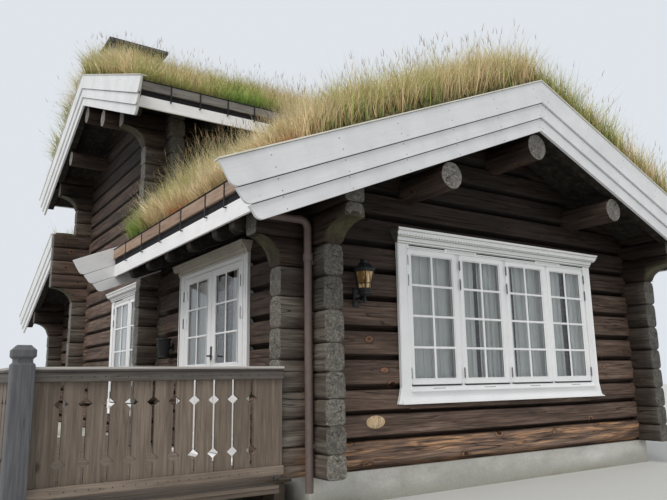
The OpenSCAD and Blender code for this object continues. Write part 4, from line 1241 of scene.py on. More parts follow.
def sod_bed(slope, node):
    """The sod as one closed mass: a lumpy top, drawn down to the roof boards."""
    shape = new_shape()
    rows, columns = 26, 40
    a0, a1 = slope.ends
    exposed, = layers(shape, "weather")

    def place(vert, row, column):
        u = slope.out * row / (rows - 1)
        a = a0 + (a1 - a0) * column / columns
        vert.co = slope.top(u, a)
        vert[exposed] = max(0.0, (u / slope.out - 0.72) / 0.28)

    roll_grid(shape, rows, columns, place, closed=False)
    made = bmesh.ops.extrude_face_region(shape, geom=shape.faces[:])["geom"]
    top = {item for item in made if isinstance(item, bmesh.types.BMVert)}
    for vert in shape.verts:
        if vert not in top:
            away = vert.co - slope.at(0, 0, 0)
            vert.co.z = slope.base(away.dot(slope.outward), away.dot(slope.along)).z
    bmesh.ops.recalc_face_normals(shape, faces=shape.faces)
    piece(slope.name + "_sod", shape, (SOD,), stands_for=node, crease=80)


for slope, node in zip(SLOPES, (["wing_turf"], (), ["tall_turf"], (), ["leanto_turf"])):
    sod_bed(slope, node)


def heading_of(angle):
    return Vector((math.cos(angle), math.sin(angle), 0))


def add_blade(bm, root, heading, length, width, lean, own_value=None, tone=None, segments=2):
    """One blade: a strip that narrows and bends over; tone fixes its place on the colour ramps."""
    tip, own = layers(bm, "tip", "own")
    ahead = heading_of(heading)
    side = Vector((-ahead.y, ahead.x, 0)) * width / 2
    own_value = rng.random() if own_value is None else own_value

    def place(vert, row, column):
        t = row / segments
        bend = lean * t * t
        centre = root + ahead * length * bend + Z_AXIS * length * t * (1 - 0.35 * bend)
        vert.co = centre + side * (1 - t ** 1.6) * (1 if column else -1)
        vert[tip] = t if tone is None else tone
        vert[own] = own_value

    verts = roll_grid(bm, segments + 1, 1, place, closed=False)
    bmesh.ops.remove_doubles(bm, verts=verts, dist=1e-5)


def add_seed_head(bm, root, heading, length):
    """A thin stem with a narrow brown head."""
    add_blade(bm, root, heading, length, 0.005, 0.20)
    crown = root + heading_of(heading) * length * 0.16 + Z_AXIS * length * 0.80
    tone = rng.choice((0.05, 0.2, 0.5))
    for turn in (0.0, 1.57):
        add_blade(bm, crown, heading + turn, length * 0.12, 0.009, 0.3, 0.95, tone)


TUFT_KINDS = 9
TUFT_HALF = 0.11
ROOT_DEPTH = -0.06


def tuft_kinds():
    """Small tufts to plant: leafy ones, and a last one with a seed head."""
    kinds = bpy.data.collections.new("tuft_kinds")
    for number in range(TUFT_KINDS):
        seedy = number == TUFT_KINDS - 1
        bm = bmesh.new()
        for name in ("tip", "own"):
            bm.verts.layers.float.new(name)

        def spot():
            """A root and a heading."""
            x, y = rng.uniform(-TUFT_HALF, TUFT_HALF), rng.uniform(-TUFT_HALF, TUFT_HALF)
            return Vector((x, y, ROOT_DEPTH)), rng.uniform(0, math.tau)

        for _ in range(8 if seedy else 9):
            add_blade(bm, *spot(), rng.uniform(0.62, 0.98), rng.uniform(0.010, 0.019),
                      rng.uniform(0.10, 0.70))
        add_blade(bm, *spot(), rng.uniform(1.05, 1.35), 0.007, 0.35)
        if seedy:
            add_seed_head(bm, *spot(), rng.uniform(1.15, 1.60))
        name = "tuft_%d" % number
        kinds.objects.link(bpy.data.objects.new(name, mesh_of(name, bm, BLADE)))
    return kinds


# The random value node's first input and its output, for each kind of value
RANDOM_SOCKETS = {"FLOAT_VECTOR": (0, 0), "FLOAT": (2, 1), "INT": (4, 2)}


def planting_nodes(kinds, per_m2, seed):
    """Geometry nodes that plant tufts on a bed, by its own density, length and tilt attributes."""
    group = bpy.data.node_groups.new("planting", "GeometryNodeTree")
    for way in ("INPUT", "OUTPUT"):
        group.interface.new_socket("Geometry", in_out=way, socket_type="NodeSocketGeometry")

    def add(kind, inputs, output=0, **settings):
        return add_node(group, kind, inputs, **settings).outputs[output]

    def stored(name, kind="FLOAT"):
        return add("GeometryNodeInputNamedAttribute", {"Name": name}, data_type=kind)

    def chance(kind, low, high, number):
        """A random value of this kind between low and high."""
        first, output = RANDOM_SOCKETS[kind]
        inputs = {first: low, first + 1: high, "Seed": seed + number}
        return add("FunctionNodeRandomValue", inputs, output, data_type=kind)

    def times(a, b):
        return add("ShaderNodeMath", {0: a, 1: b}, operation="MULTIPLY")

    bed = add("NodeGroupInput", {})
    points = add("GeometryNodeDistributePointsOnFaces", {
        "Mesh": bed, "Density": times(stored("density"), float(per_m2)), "Seed": seed}, "Points")
    planted = add("GeometryNodeInstanceOnPoints", {
        "Points": points, "Pick Instance": True,
        "Instance": add("GeometryNodeCollectionInfo", {
            "Collection": kinds, "Separate Children": True, "Reset Children": True}),
        "Instance Index": chance("INT", 0, TUFT_KINDS - 1, 1),
        "Rotation": chance("FLOAT_VECTOR", (-0.24, -0.24, 0.0), (0.24, 0.24, math.tau), 2),
        "Scale": times(stored("length"), chance("FLOAT", 0.74, 1.16, 3))})
    tilted = add("GeometryNodeRotateInstances", {
        "Instances": planted, "Rotation": stored("tilt", "FLOAT_VECTOR"), "Local Space": False,
        "Pivot Point": add("GeometryNodeInputPosition", {})})
    tinted = add("GeometryNodeStoreNamedAttribute", {
        "Geometry": tilted, "Name": "tint", "Value": chance("FLOAT", 0.0, 1.0, 4)},
        data_type="FLOAT", domain="INSTANCE")
    add_node(group, "NodeGroupOutput", {0: add("GeometryNodeRealizeInstances", {"Geometry": tinted})})
    return group


BLADE_LENGTH = 0.44
BLADE_PATCHES = 0.14
EDGE_TILT = 0.55
GABLE_TILT = 0.40

# Spots of moss at the eaves and of greener grass, as (x, y, radius)
MOSS_SPOTS = {"wing_left": ((-2.90, -0.66, 0.17), (-2.93, 1.45, 0.34))}
GREEN_SPOTS = {"wing_left": ((-2.85, 2.72, 0.55),), "tall_front": ((-1.36, 3.05, 0.55),)}


def near(spots, slope, at):
    """1 in the middle of one of the slope's spots, falling to 0 at its radius."""
    here = [1 - math.hypot(at.x - x, at.y - y) / reach for x, y, reach in spots.get(slope.name, ())]
    return max([0.0] + here)


def planted_share(slope, u, a):
    """More tufts along the edges the photo shows against the sky and the gable."""
    start = slope.ends[0]
    if slope.name == "wing_left":
        return 1.7 if a < start + 0.5 else 1.35 if a > 1.4 and u > 1.3 else 0.8
    if slope.name == "wing_right":
        return 3.4 if a < start + 0.45 else 0.6
    if slope.name == "tall_rear" and a < start + 0.3 and u < 0.8 * slope.out:
        return 14.0 * max(0.1, noise.noise(Vector((3.1, 0, u * 2.2))) + 0.35)
    return 2.2 if slope.name == "tall_front" and a < start + 0.3 else 0.85


def edge_lean(slope, u, a):
    """How far the grass leans out over the eave, and over the gables of the rear roofs."""
    lean = slope.outward * (EDGE_TILT * max(0.0, (u / slope.out - 0.90) / 0.10))
    if not slope.wing:
        tilt = 2.0 * GABLE_TILT if slope.name == "tall_rear" else GABLE_TILT
        for end, way in zip(slope.ends, SIDES):
            lean += slope.along * way * tilt * max(0.0, 1 - abs(a - end) / 0.14)
    return Vector((-lean.y, lean.x, 0))


def grass_bed(slope, a0, a1, greener):
    """The ground that one mesh of grass is planted on, with its density, length, tint and tilt."""
    bm = bmesh.new()
    names = ("density", "length", "weather")
    for name in names:
        bm.verts.layers.float.new(name)
    tilt = bm.verts.layers.float_vector.new("tilt")
    density, length, weather = layers(bm, *names)
    rows, columns = 30, 40

    def place(vert, row, column):
        u = slope.out * (0.005 + 0.995 * row / (rows - 1))
        a = a0 + 0.01 + (a1 - a0 - 0.02) * column / columns
        vert.co = slope.top(u, a)
        low = max(0.0, (u / slope.out - 0.8) / 0.2)
        mossy = near(MOSS_SPOTS, slope, vert.co)
        grown = slope.grow(u, a) * (1 - 0.6 * min(1.0, mossy * 2))
        blade = BLADE_LENGTH + BLADE_PATCHES * (0.5 + 0.5 * noise.noise(vert.co * 1.1))
        vert[density] = 0.0 if grown == 0 else planted_share(slope, u, a)
        vert[length] = blade * (1.0 - 0.40 * low) * grown
        vert[weather] = greener + 1.4 * near(GREEN_SPOTS, slope, vert.co) - 1.6 * mossy
        if slope.name == "tall_front":
            vert[weather] += 0.5 * low
        vert[tilt] = edge_lean(slope, u, a)

    roll_grid(bm, rows, columns, place, closed=False)
    return show(slope.name + "_bed", mesh_of(slope.name + "_bed", bm))


def plant(slope, kinds, per_m2, seed, greener, half=None):
    """Grass on one slope, or on the near or far half of it, as one mesh."""
    a0, a1 = slope.ends
    name = slope.name + "_grass"
    if half is not None:
        middle = (a0 + a1) / 2
        a0, a1 = (a0, middle) if half == 0 else (middle, a1)
        name += "_%d" % half
    bed = grass_bed(slope, a0, a1, greener)
    bed.modifiers.new("planting", "NODES").node_group = planting_nodes(kinds, per_m2, seed)
    bpy.context.view_layer.update()
    mesh = bpy.data.meshes.new_from_object(bed.evaluated_get(bpy.context.evaluated_depsgraph_get()))
    mesh.name = name
    grass = show(name, mesh)
    bpy.data.objects.remove(bed)
    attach(grass, "house")


kinds = tuft_kinds()
wing_left, wing_right, tall_front, tall_rear, leanto = SLOPES
for slope, per_m2, seed, greener, half in (
        (wing_left, 740, 11, 0.0, 0), (wing_left, 680, 13, 0.0, 1), (wing_right, 250, 23, 0.45, None),
        (tall_front, 290, 37, 0.20, None), (tall_rear, 80, 41, 0.3, None), (leanto, 70, 59, 0.3, None)):
    plant(slope, kinds, per_m2, seed, greener, half)
for tuft in list(kinds.objects):
    bpy.data.objects.remove(tuft)
bpy.data.collections.remove(kinds)


# Windows: drawn with x along the wall, y = 0 on its face and the outside towards -y

FRONT_PLACE = Matrix.Translation((FRONT_WINDOW_X, FRONT, 0))
LEFT_TURN = Matrix.Rotation(math.radians(-90), 4, "Z")
LEFT_PLACE = Matrix.Translation((-HALF, SIDE_WINDOW_Y, 0)) @ LEFT_TURN
RIGHT_PLACE = Matrix.Scale(-1, 4, X_AXIS) @ LEFT_PLACE
DOOR_PLACE = Matrix.Translation((-HALF, DOOR_Y, 0)) @ LEFT_TURN
SIDE_MARGIN = 0.168
GLASS_GAP = 0.135
FRONT_PANE_W = 0.520
SIDE_PANE_W = 0.640
WINDOW_ROWS = 4
BAR_W = 0.022
BEAD_W = 0.009
SASH_RIM = 0.047
BEAD_GAP = 0.036
FOOT_DROP = 0.100
FOOT_PROFILE = (
    (0.042, 0.0), (0.036, 0.022), (0.020, 0.070), (0.006, 0.130), (0.0, 0.140), (-0.03, 0.140), (-0.03, 0.0))
RETURN_PROFILE = (
    (0.034, 0.0), (0.047, 0.026), (0.080, 0.050), (0.092, 0.080), (0.121, 0.096), (0.121, 0.124))

# A cornice's fillets, as (out, up, half thickness, material); material 3 makes a thin line of painted shade
FILLETS = (
    (0.036, -0.004, 0.003, 3), (0.039, 0.004, 0.006, 0), (0.041, 0.015, 0.003, 3),
    (0.049, 0.026, 0.006, 0), (0.086, 0.055, 0.003, 0), (0.080, 0.049, 0.003, 3))

# Air slots in a head board, as (left, right, is open); the others have a grille
FRONT_SLOTS = (
    (-1.275, -0.828, True), (-0.790, -0.420, False), (-0.402, 0.480, True), (0.500, 0.875, False),
    (0.890, 1.290, True))
SIDE_SLOTS = ((-0.740, -0.300, True), (-0.280, 0.280, False), (0.300, 0.740, True))


def put(bm, matrix):
    bmesh.ops.transform(bm, matrix=matrix, verts=bm.verts)
    if matrix.determinant() < 0:
        bmesh.ops.recalc_face_normals(bm, faces=bm.faces)


def glass_spots(half, width, count):
    """The left and right edge of each glass."""
    lefts = [-half + SIDE_MARGIN + k * (width + GLASS_GAP) for k in range(count)]
    return [(left, left + width) for left in lefts]


def add_frame(bm, x, z, y, width, edge, order):
    """Four thin boards round a rectangle; the order names its sides: left, right, bottom and top."""
    (x0, x1), (z0, z1), (y0, y1) = x, z, y
    boards = {
        "l": ((x0, y0, z0), (x0 + width, y1, z1), Z_AXIS), "r": ((x1 - width, y0, z0), (x1, y1, z1), Z_AXIS),
        "b": ((x0, y0, z0), (x1, y1, z0 + width), X_AXIS), "t": ((x0, y0, z1 - width), (x1, y1, z1), X_AXIS)}
    for side in order:
        add_board(bm, *boards[side], edge)


def add_bars(bm, x, z, rows, y=(-0.013, 0.001)):
    """Moulded glazing bars: one upright, the cross bars between the rows of panes, and beads all round."""
    (x0, x1), (z0, z1), (y0, y1) = x, z, y
    middle, half = (x0 + x1) / 2, BAR_W / 2
    add_board(bm, (middle - half, y0, z0 - 0.004), (middle + half, y1, z1 + 0.004), Z_AXIS, 0.005)
    for row in range(1, rows):
        level = z0 + (z1 - z0) * row / rows
        add_board(bm, (x0 - 0.004, y0 + 0.001, level - half), (x1 + 0.004, y1, level + half), X_AXIS, 0.005)
    add_frame(bm, x, z, (y0 + 0.002, y1), BEAD_W, 0.004, "lrbt")


def add_hinge(bm, x, y, z0, z1):
    """A knuckle hinge: a pin in three barrels."""
    third = (z1 - z0) / 3
    for i in range(3):
        foot, head = z0 + third * i + 0.001, z0 + third * (i + 1) - 0.001
        add_round(bm, (x, y, foot), (x, y, head), 0.0075, sides=12, edge=0.001, material=1)
    for z in (z1 + 0.004, z0 - 0.004):
        add_ball(bm, (x, y, z), 0.006, 1, subdivisions=1)


def add_casement(bm, x, z, hinge_left):
    """The joint round a sash, and its hinges."""
    x0, x1 = x[0] - SASH_RIM, x[1] + SASH_RIM
    z0, z1 = z
    add_frame(bm, (x0, x1), (z0 - SASH_RIM, z1 + SASH_RIM), (-0.021, -0.017), 0.012, 0.002, "lrtb")
    for foot, head in ((z0 + 0.012, z0 + 0.096), (z1 - 0.293, z1 - 0.201), (z1 - 0.102, z1 - 0.022)):
        add_hinge(bm, x0 - 0.004 if hinge_left else x1 + 0.004, -0.028, foot, head)


def flare(out):
    """How far a cornice stands past its side where it stands this far out."""
    return (out - 0.030) * 0.55


def add_cornice(bm, x0, x1, top, scale=1.0):
    """A row of beads in the cornice's shade over a board of painted shade, a strip of painted shadow above
    them, and fillets under its hollow.
    """
    left, right = x0 - 0.044, x1 + 0.044
    z = top + 0.074 * scale
    add_board(bm, (left, -0.1132, top + 0.093 * scale), (right, -0.100, top + 0.101 * scale), X_AXIS, 0.0, 3)
    add_board(bm, (left + 0.01, -0.094, z - 0.017), (right - 0.01, -0.082, z + 0.020), X_AXIS, 0.0, 4)
    count = round((right - left) / BEAD_GAP)
    for i in range(count):
        x = left + (right - left) * (i + 0.5) / count
        add_ball(bm, (x, -0.094, z + 0.002), 0.0185, 0, (1.0, 0.7, 1.0), 1)
    for out, up, r, material in FILLETS:
        low = (x0 - flare(out), -out - r, top + up * scale - r)
        high = (x1 + flare(out), -out + 0.01, top + up * scale + r)
        add_board(bm, low, high, X_AXIS, 0.0 if material else 0.002, material)


def add_cornice_end(bm, x, side, top):
    """The cornice's short return, which always lies in its own shade."""
    for ends in zip(RETURN_PROFILE, RETURN_PROFILE[1:]):
        verts = []
        for out, up in ends:
            edge = x + side * (flare(out) + 0.0045)
            for inset in (0.0, 0.006):
                verts += [bm.verts.new((edge - side * inset, y, top + up)) for y in (-out + 0.002, 0.004)]
        tag(bm, verts, Z_AXIS)
        for item in bmesh.ops.convex_hull(bm, input=verts)["geom"]:
            if isinstance(item, bmesh.types.BMFace):
                item.material_index = 5


def add_water_bar(bm, inner, foot, spots):
    """The water bar under the casements, with dark boards of painted shade for the slots over it and under
    its front.
    """
    profile = [(-0.014, foot - 0.056), (-0.050, foot - 0.086), (-0.058, foot - 0.090), (-0.058, foot - 0.106),
               (-0.014, foot - 0.106)]
    left, length = -inner - 0.012, 2 * inner + 0.024
    add_plate(bm, profile, lambda u, w, d: Vector((left + d, u, w)), length, X_AXIS, 0.002)
    for x0, x1 in spots:
        x = (x0 + x1) / 2
        add_board(bm, (x0 - 0.042, -0.026, foot - 0.057), (x1 + 0.042, -0.012, foot - 0.050), X_AXIS, 0.0, 2)
        add_board(bm, (x - 0.075, -0.046, foot - 0.083), (x + 0.075, -0.036, foot - 0.079), X_AXIS, 0.0, 2)


def add_fillet(bm, x, low, high):
    add_board(bm, (x - 0.006, -0.036, low), (x + 0.006, -0.028, high), Z_AXIS, 0.003)


def add_casing_trim(bm, half, inner, low, top):
    """The casing's feet, which spread out over the sill, and fillets on its edges."""
    for side in SIDES:
        foot = [(side * (half + x), low - FOOT_DROP + z) for x, z in FOOT_PROFILE]
        add_plate(bm, foot[::side], lambda u, w, d: Vector((u, -0.031 + d, w)), 0.029, Z_AXIS, 0.001)
    for side in SIDES:
        for x in (half - 0.012, inner + 0.004):
            add_fillet(bm, side * x, low + 0.002, top - 0.002)


def add_air_slot(bm, x0, x1, is_open, top):
    def strip(front, back, under, over, edge=0.0, material=2, inset=0.0):
        low, high = (x0 + inset, front, top - under), (x1 - inset, back, top - over)
        add_board(bm, low, high, X_AXIS, edge, material)

    # Painted shade: an open slot is a dark strip with a shade line under it, and a grille is a white board
    # with shade lines
    if is_open:
        strip(-0.0325, -0.028, 0.021, 0.011)
        strip(-0.0325, -0.028, 0.036, 0.033, 0.0, 3)
        return
    strip(-0.036, -0.028, 0.036, 0.010, 0.002, 0)
    for z in (0.016, 0.023, 0.030):
        strip(-0.0365, -0.034, z + 0.0012, z - 0.0012, 0.0, 3, 0.01)


def window_details(name, places, half, width, count, glass, slots):
    """All that one kind of window carries, once at each of its places."""
    shape = new_shape()
    inner = half - CASING
    top = glass[1] + 0.094
    spots = glass_spots(half, width, count)
    for matrix in places:
        part = new_shape()
        for k, spot in enumerate(spots):
            add_bars(part, spot, glass, WINDOW_ROWS)
            add_casement(part, spot, glass, k < count - 1)
        add_cornice(part, -half, half, top)
        for side in SIDES:
            add_cornice_end(part, side * half, side, top)
        add_water_bar(part, inner, glass[0], spots)
        add_casing_trim(part, half, inner, glass[0] - 0.109, top)
        for slot in slots:
            add_air_slot(part, *slot, top)
        put(part, matrix)
        mesh = mesh_of("part", part)
        shape.from_mesh(mesh)
        bpy.data.meshes.remove(mesh)
    piece(name, shape, (WHITE, HINGE, FELT_AND_SLOT_SHADE, SLOT_SHADE, SHADE_BEHIND_BEADS, SHADED_END))


window_details("front_window_fittings", [FRONT_PLACE], FRONT_HALF, FRONT_PANE_W, 4, GLASS_FRONT, FRONT_SLOTS)
window_details("side_window_fittings", [LEFT_PLACE, RIGHT_PLACE], SIDE_HALF, SIDE_PANE_W, 2, GLASS_SIDE,
               SIDE_SLOTS)


# Curtains

CURTAIN_ROWS = 9
FOLD_COLUMNS = 10


def hang_curtain(name, matrix, x, z, folds, depth=0.014, y=0.085):
    """A gathered curtain behind a glass: its folds deepen towards the hem."""
    (x0, x1), (z0, z1) = x, z
    columns = folds * FOLD_COLUMNS
    shape = new_shape()
    phase = rng.uniform(0, 6)

    def place(vert, row, column):
        t = row / (CURTAIN_ROWS - 1)
        s = column / columns
        swing = math.sin(math.tau * folds * s + phase + 0.35 * math.sin(3.1 * s + t))
        sway = depth * (0.75 + 0.25 * t) * swing
        drift = 0.006 * noise.noise(Vector((s * 4, t * 1.3, phase)))
        bunch = 0.12 / folds * math.sin(2 * math.tau * folds * s)
        vert.co = Vector((x0 + (x1 - x0) * (s + bunch), y + sway + drift, z1 + (z0 - z1) * t))

    verts = roll_grid(shape, CURTAIN_ROWS, columns, place, closed=False)
    top = [vert.co for vert in verts[:columns + 1]]
    run = sum((b - a).length for a, b in zip(top, top[1:]))
    put(shape, matrix)
    tag(shape, shape.verts, Z_AXIS)
    made = piece(name, shape, (CURTAIN,), crease=180)
    round(z1 - z0, 2)


def curtains():
    _, (second, _), (third, _), (fourth, last) = glass_spots(FRONT_HALF, FRONT_PANE_W, 4)
    for number, (x0, x1, folds, depth) in enumerate((
            (-1.30, second + 0.235, 9, 0.014), (second + 0.29, third + 0.13, 7, 0.014),
            (third + 0.16, fourth + 0.285, 8, 0.014), (last - 0.150, 1.30, 3, 0.012)), 1):
        hang_curtain("curtain_front_%d" % number, FRONT_PLACE, (x0, x1), (0.90, 2.17), folds, depth)
    for word, matrix in (("left", LEFT_PLACE), ("right", RIGHT_PLACE)):
        for number, x in ((1, (-0.75, -0.36)), (2, (0.36, 0.75))):
            hang_curtain("curtain_%s_%d" % (word, number), matrix, x, (0.66, 2.17), 5)
    for number, x in enumerate(((-0.74, -0.44), (0.18, 0.42))):
        hang_curtain("curtain_door_%d" % number, DOOR_PLACE, x, (0.95, 2.16), 4, 0.012, 0.17)


curtains()


# Terrace door

LEAF_W = 0.746
LEAF_GAP = 0.008
LEAF_EDGE = LEAF_GAP / 2 + LEAF_W
STILE = 0.098
LEAF_GLASS = (1.165, 2.088)
LEAF_LOW = 0.295
DOOR_TOP = 2.150
FAR_HALF = 0.915
NEAR_HALF = 0.845


def leaf_details(name, side, body):
    """Glazing bars, panel mouldings and hinge pins of one leaf; side -1 is the far one."""
    shape = new_shape()
    x0, x1 = LEAF_GAP / 2 + STILE, LEAF_EDGE - STILE
    low, high = LEAF_LOW + 0.14, LEAF_GLASS[0] - STILE
    add_bars(shape, (x0, x1), LEAF_GLASS, 3, (-0.027, -0.015))
    add_frame(shape, (x0, x1), (low, high), (-0.030, -0.020), 0.016, 0.005, "btlr")
    add_board(shape, (x0 + 0.05, -0.029, low + 0.05), (x1 - 0.05, -0.020, high - 0.05), Z_AXIS, 0.007)
    for z in (0.450, 1.585, 1.895):
        add_hinge(shape, LEAF_EDGE + 0.003, -0.038, z + 0.006, z + 0.109)
    put(shape, DOOR_PLACE @ Matrix.Scale(side, 4, X_AXIS))
    piece(name, shape, (WHITE, HINGE), body)


def door_trim():
    """Cornice, fillets and sill of the door; what lies under the cornice is white."""
    shape = new_shape()
    top = DOOR_TOP + 0.060
    inner = LEAF_EDGE + 0.006
    add_cornice(shape, -FAR_HALF, NEAR_HALF, top, 0.92)
    for side, half in zip(SIDES, (FAR_HALF, NEAR_HALF)):
        for x in (half - 0.012, inner + 0.022):
            add_fillet(shape, side * x, 0.26, top - 0.002)
    add_board(shape, (-inner, -0.036, top - 0.030), (inner, -0.028, top - 0.018), X_AXIS, 0.003)
    add_board(shape, (-FAR_HALF - 0.02, -0.075, 0.222), (NEAR_HALF + 0.02, 0.0, 0.262), X_AXIS, 0.005)
    put(shape, DOOR_PLACE)
    for face in shape.faces:
        if face.material_index == 0 and face.calc_center_median().z < top:
            face.material_index = 1
    piece("door_casing_trim", shape, (BEIGE_PAINT, WHITE, FELT_AND_SLOT_SHADE, SLOT_SHADE, SLOT_SHADE))


def door_handle():
    shape = new_shape()
    x = LEAF_GAP / 2 + 0.048
    elbow, tip = (x + 0.069, -0.077, 1.246), (x + 0.112, -0.072, 1.238)
    add_board(shape, (x - 0.018, -0.038, 1.205), (x + 0.018, -0.030, 1.350), Z_AXIS, 0.003)
    add_round(shape, (x, -0.036, 1.250), (x, -0.046, 1.250), 0.015, sides=20, edge=0.002)
    add_round(shape, (x, -0.040, 1.250), (x, -0.076, 1.250), 0.0085)
    add_ball(shape, (x, -0.075, 1.250), 0.0095)
    add_round(shape, (x, -0.075, 1.250), (x + 0.070, -0.077, 1.246), 0.0088, 0.0078)
    add_round(shape, (x + 0.068, -0.077, 1.246), tip, 0.0078, 0.0070)
    add_ball(shape, elbow, 0.0079)
    add_ball(shape, tip, 0.0080)
    add_round(shape, (x, -0.037, 1.322), (x, -0.041, 1.322), 0.010, edge=0.001)
    put(shape, DOOR_PLACE)
    piece("door_lever", shape, (BLACK,), "near_leaf", ["door_handle"])


leaf_details("near_leaf_fittings", 1, "near_leaf")
leaf_details("far_leaf_fittings", -1, "far_leaf")
door_trim()
door_handle()


# Terrace

RAIL_TOP = 1.100
RAIL_BOARD_T = 0.025
BOARD_LOW = 0.300
BOARD_HIGH = RAIL_TOP - 0.04
SLOT_LOW = 0.373
SLOT_HIGH = 1.010
SLOT_PITCH = 0.1496
SLOT_HALF = 0.011
SEAM_HALF = 0.0012
DIAMOND = (0.046, 0.040)
DIAMOND_LEVELS = (0.493, 0.864)
RAIL_INSET = 0.045
POST_PROFILE = (
    (0.067, 0.0), (0.067, 1.113), (0.053, 1.128), (0.053, 1.147), (0.069, 1.162), (0.069, 1.203),
    (0.039, 1.234))
DECK_BOARD = 0.120
DECK_T = 0.028
TERRACE_GAP = 0.006


def board_outline(left, right, cut_left, cut_right):
    """A railing board with half a slot and two half diamonds on each edge that meets another board."""
    def edge(u, side, cut):
        if not cut:
            return [(u, BOARD_LOW), (u, BOARD_HIGH)]
        seam, slot, point = (u - side * inset for inset in (SEAM_HALF, SLOT_HALF, DIAMOND[0]))
        narrow = DIAMOND[1] * (1 - SLOT_HALF / DIAMOND[0])
        out = [(seam, BOARD_LOW), (seam, SLOT_LOW), (slot, SLOT_LOW)]
        for z in DIAMOND_LEVELS:
            out += [(slot, z - narrow), (point, z), (slot, z + narrow)]
        return out + [(slot, SLOT_HIGH), (seam, SLOT_HIGH), (seam, BOARD_HIGH)]

    return edge(right, 1, cut_right) + edge(left, -1, cut_left)[::-1]


def add_railing(bm, at, u0, u1, first, count, along):
    """Boards with slots between them, two rails, a cap and a batten; at(u, y, z) gives a point."""
    seams = [first + SLOT_PITCH * k for k in range(count)]
    edges = [u0] + seams + [u1]
    for k, (left, right) in enumerate(zip(edges, edges[1:])):
        wobble = rng.uniform(-0.0015, 0.0015)
        outline = board_outline(left, right, k > 0, k < count)
        add_plate(bm, outline, lambda u, w, d: at(u, d + wobble, w), RAIL_BOARD_T, Z_AXIS)
    rail_low, rail_high = SLOT_LOW - 0.008, SLOT_HIGH - 0.005
    for end, y0, y1, z0, z1, way, edge, material in (
            (u1, -0.045, 0.060, RAIL_TOP - 0.018, RAIL_TOP, along, 0.004, 1),
            (u1, -0.041, 0.056, RAIL_TOP - 0.030, RAIL_TOP - 0.019, along, 0.002, 3),
            (u1, -0.030, -0.001, rail_high, RAIL_TOP - 0.030, along, 0.004, 3),
            (u1, -0.030, -0.001, BOARD_LOW, rail_low, along, 0.004, 0),
            (u0 + 0.050, -0.015, -0.001, rail_low, rail_high, Z_AXIS, 0.003, 0)):
        add_board(bm, at(u0, y0, z0), at(end, y1, z1), way, edge, material)
    for u in seams:
        for z in (BOARD_LOW + 0.033, SLOT_HIGH + 0.025):
            for x in (u - 0.04, u + 0.04):
                add_round(bm, at(x, -0.029, z), at(x, -0.0312, z), 0.0040, sides=6, material=2)


def railing_piece(name, shape, node):
    piece(name, shape, (FENCE, FENCE_WORN, IRON_AND_GAP_SHADE, FENCE_DARK), stands_for=[node])


def front_railing():
    shape = new_shape()
    low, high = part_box("deck_front_railing")
    y = low.y + RAIL_INSET
    add_railing(shape, lambda u, d, z: Vector((u, y + d, z)), low.x, high.x, -4.195, 10, X_AXIS)
    railing_piece("front_railing_boards", shape, "deck_front_railing")


def side_railing():
    """The railing along the terrace, with three posts behind it."""
    shape = new_shape()
    low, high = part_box("deck_side_railing")
    x, y = low.x + RAIL_INSET, low.y
    length = high.y - y
    add_railing(shape, lambda u, d, z: Vector((x + d, y + u, z)), 0.0, length, 0.080, 38, Y_AXIS)
    for u in (length / 3, 2 * length / 3, length - 0.090):
        low, high = (x + 0.026, y + u, 0.20), (x + 0.100, y + u + 0.090, RAIL_TOP - 0.031)
        add_board(shape, low, high, Z_AXIS, 0.005)
    railing_piece("side_railing_boards", shape, "deck_side_railing")


def corner_post():
    """A squared post with a notched neck and a bevelled cap."""
    shape = new_shape()
    low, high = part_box("deck_corner_post")
    cx, cy = (low.x + high.x) / 2, (low.y + high.y) / 2
    corners = ((1, 1), (-1, 1), (-1, -1), (1, -1))

    def place(vert, row, column):
        r, z = POST_PROFILE[row]
        sx, sy = corners[column]
        vert.co = Vector((cx + sx * r, cy + sy * r, z))

    verts = roll_grid(shape, len(POST_PROFILE), len(corners), place)
    bmesh.ops.holes_fill(shape, edges=shape.edges, sides=len(corners))
    bmesh.ops.recalc_face_normals(shape, faces=shape.faces)
    upright = [e for e in shape.edges if abs((e.verts[0].co - e.verts[1].co).normalized().z) > 0.4]
    finish_form(shape, verts, Z_AXIS, 0, 0.006, upright, 2)
    piece("corner_post", shape, (POST_GREY,), stands_for=["deck_corner_post"])


def deck():
    """Deck boards along the house with small gaps, a rim board and the bearers under them."""
    shape = new_shape()
    (x0, y0, _), (x1, y1, top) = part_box("deck_floor")
    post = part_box("deck_corner_post")[1]
    post_x, post_y = post.x + TERRACE_GAP, post.y + TERRACE_GAP
    logs_x = -HALF - LOG_END - TERRACE_GAP
    log_ends = ((-0.2, 0.115), (CROSS - 0.005, CROSS + LOG_T + 0.005))
    count = round((y1 - y0) / DECK_BOARD)
    pitch = (y1 - y0) / count
    for i in range(count):
        b0, b1 = y0 + pitch * i + 0.003, y0 + pitch * (i + 1) - 0.003
        cut = any(b0 < e1 and b1 > e0 for e0, e1 in log_ends)
        left, right = post_x if b0 < post_y else x0, logs_x if cut else x1
        add_board(shape, (left, b0, top - DECK_T), (right, b1, top))
    under, rim = top - 0.029, top - 0.060
    add_board(shape, (post_x, y0, rim), (logs_x, y0 + DECK_T, under), X_AXIS, 0.002)
    add_board(shape, (x0, post_y, rim), (x0 + DECK_T, y1, under), Y_AXIS, 0.002)
    add_board(shape, (x0, y1 - DECK_T, rim), (x1, y1, under), X_AXIS, 0.002)
    for x in (x0 + 0.06, (x0 + x1) / 2, x1 - 0.16):
        add_board(shape, (x, y0 + 0.25, 0.0), (x + 0.1, y1 - 0.06, under), Y_AXIS, 0.004)
    piece("deck_boards", shape, (FENCE,), stands_for=["deck_floor"])


front_railing()
side_railing()
corner_post()
deck()


# Chimney: stones set round the stack, which is left as the mortar bed

STONES_FROM = 4.3
STONE_PROUD = 0.012
STONE_DEPTH = 0.05
JOINT_HALF = 0.006


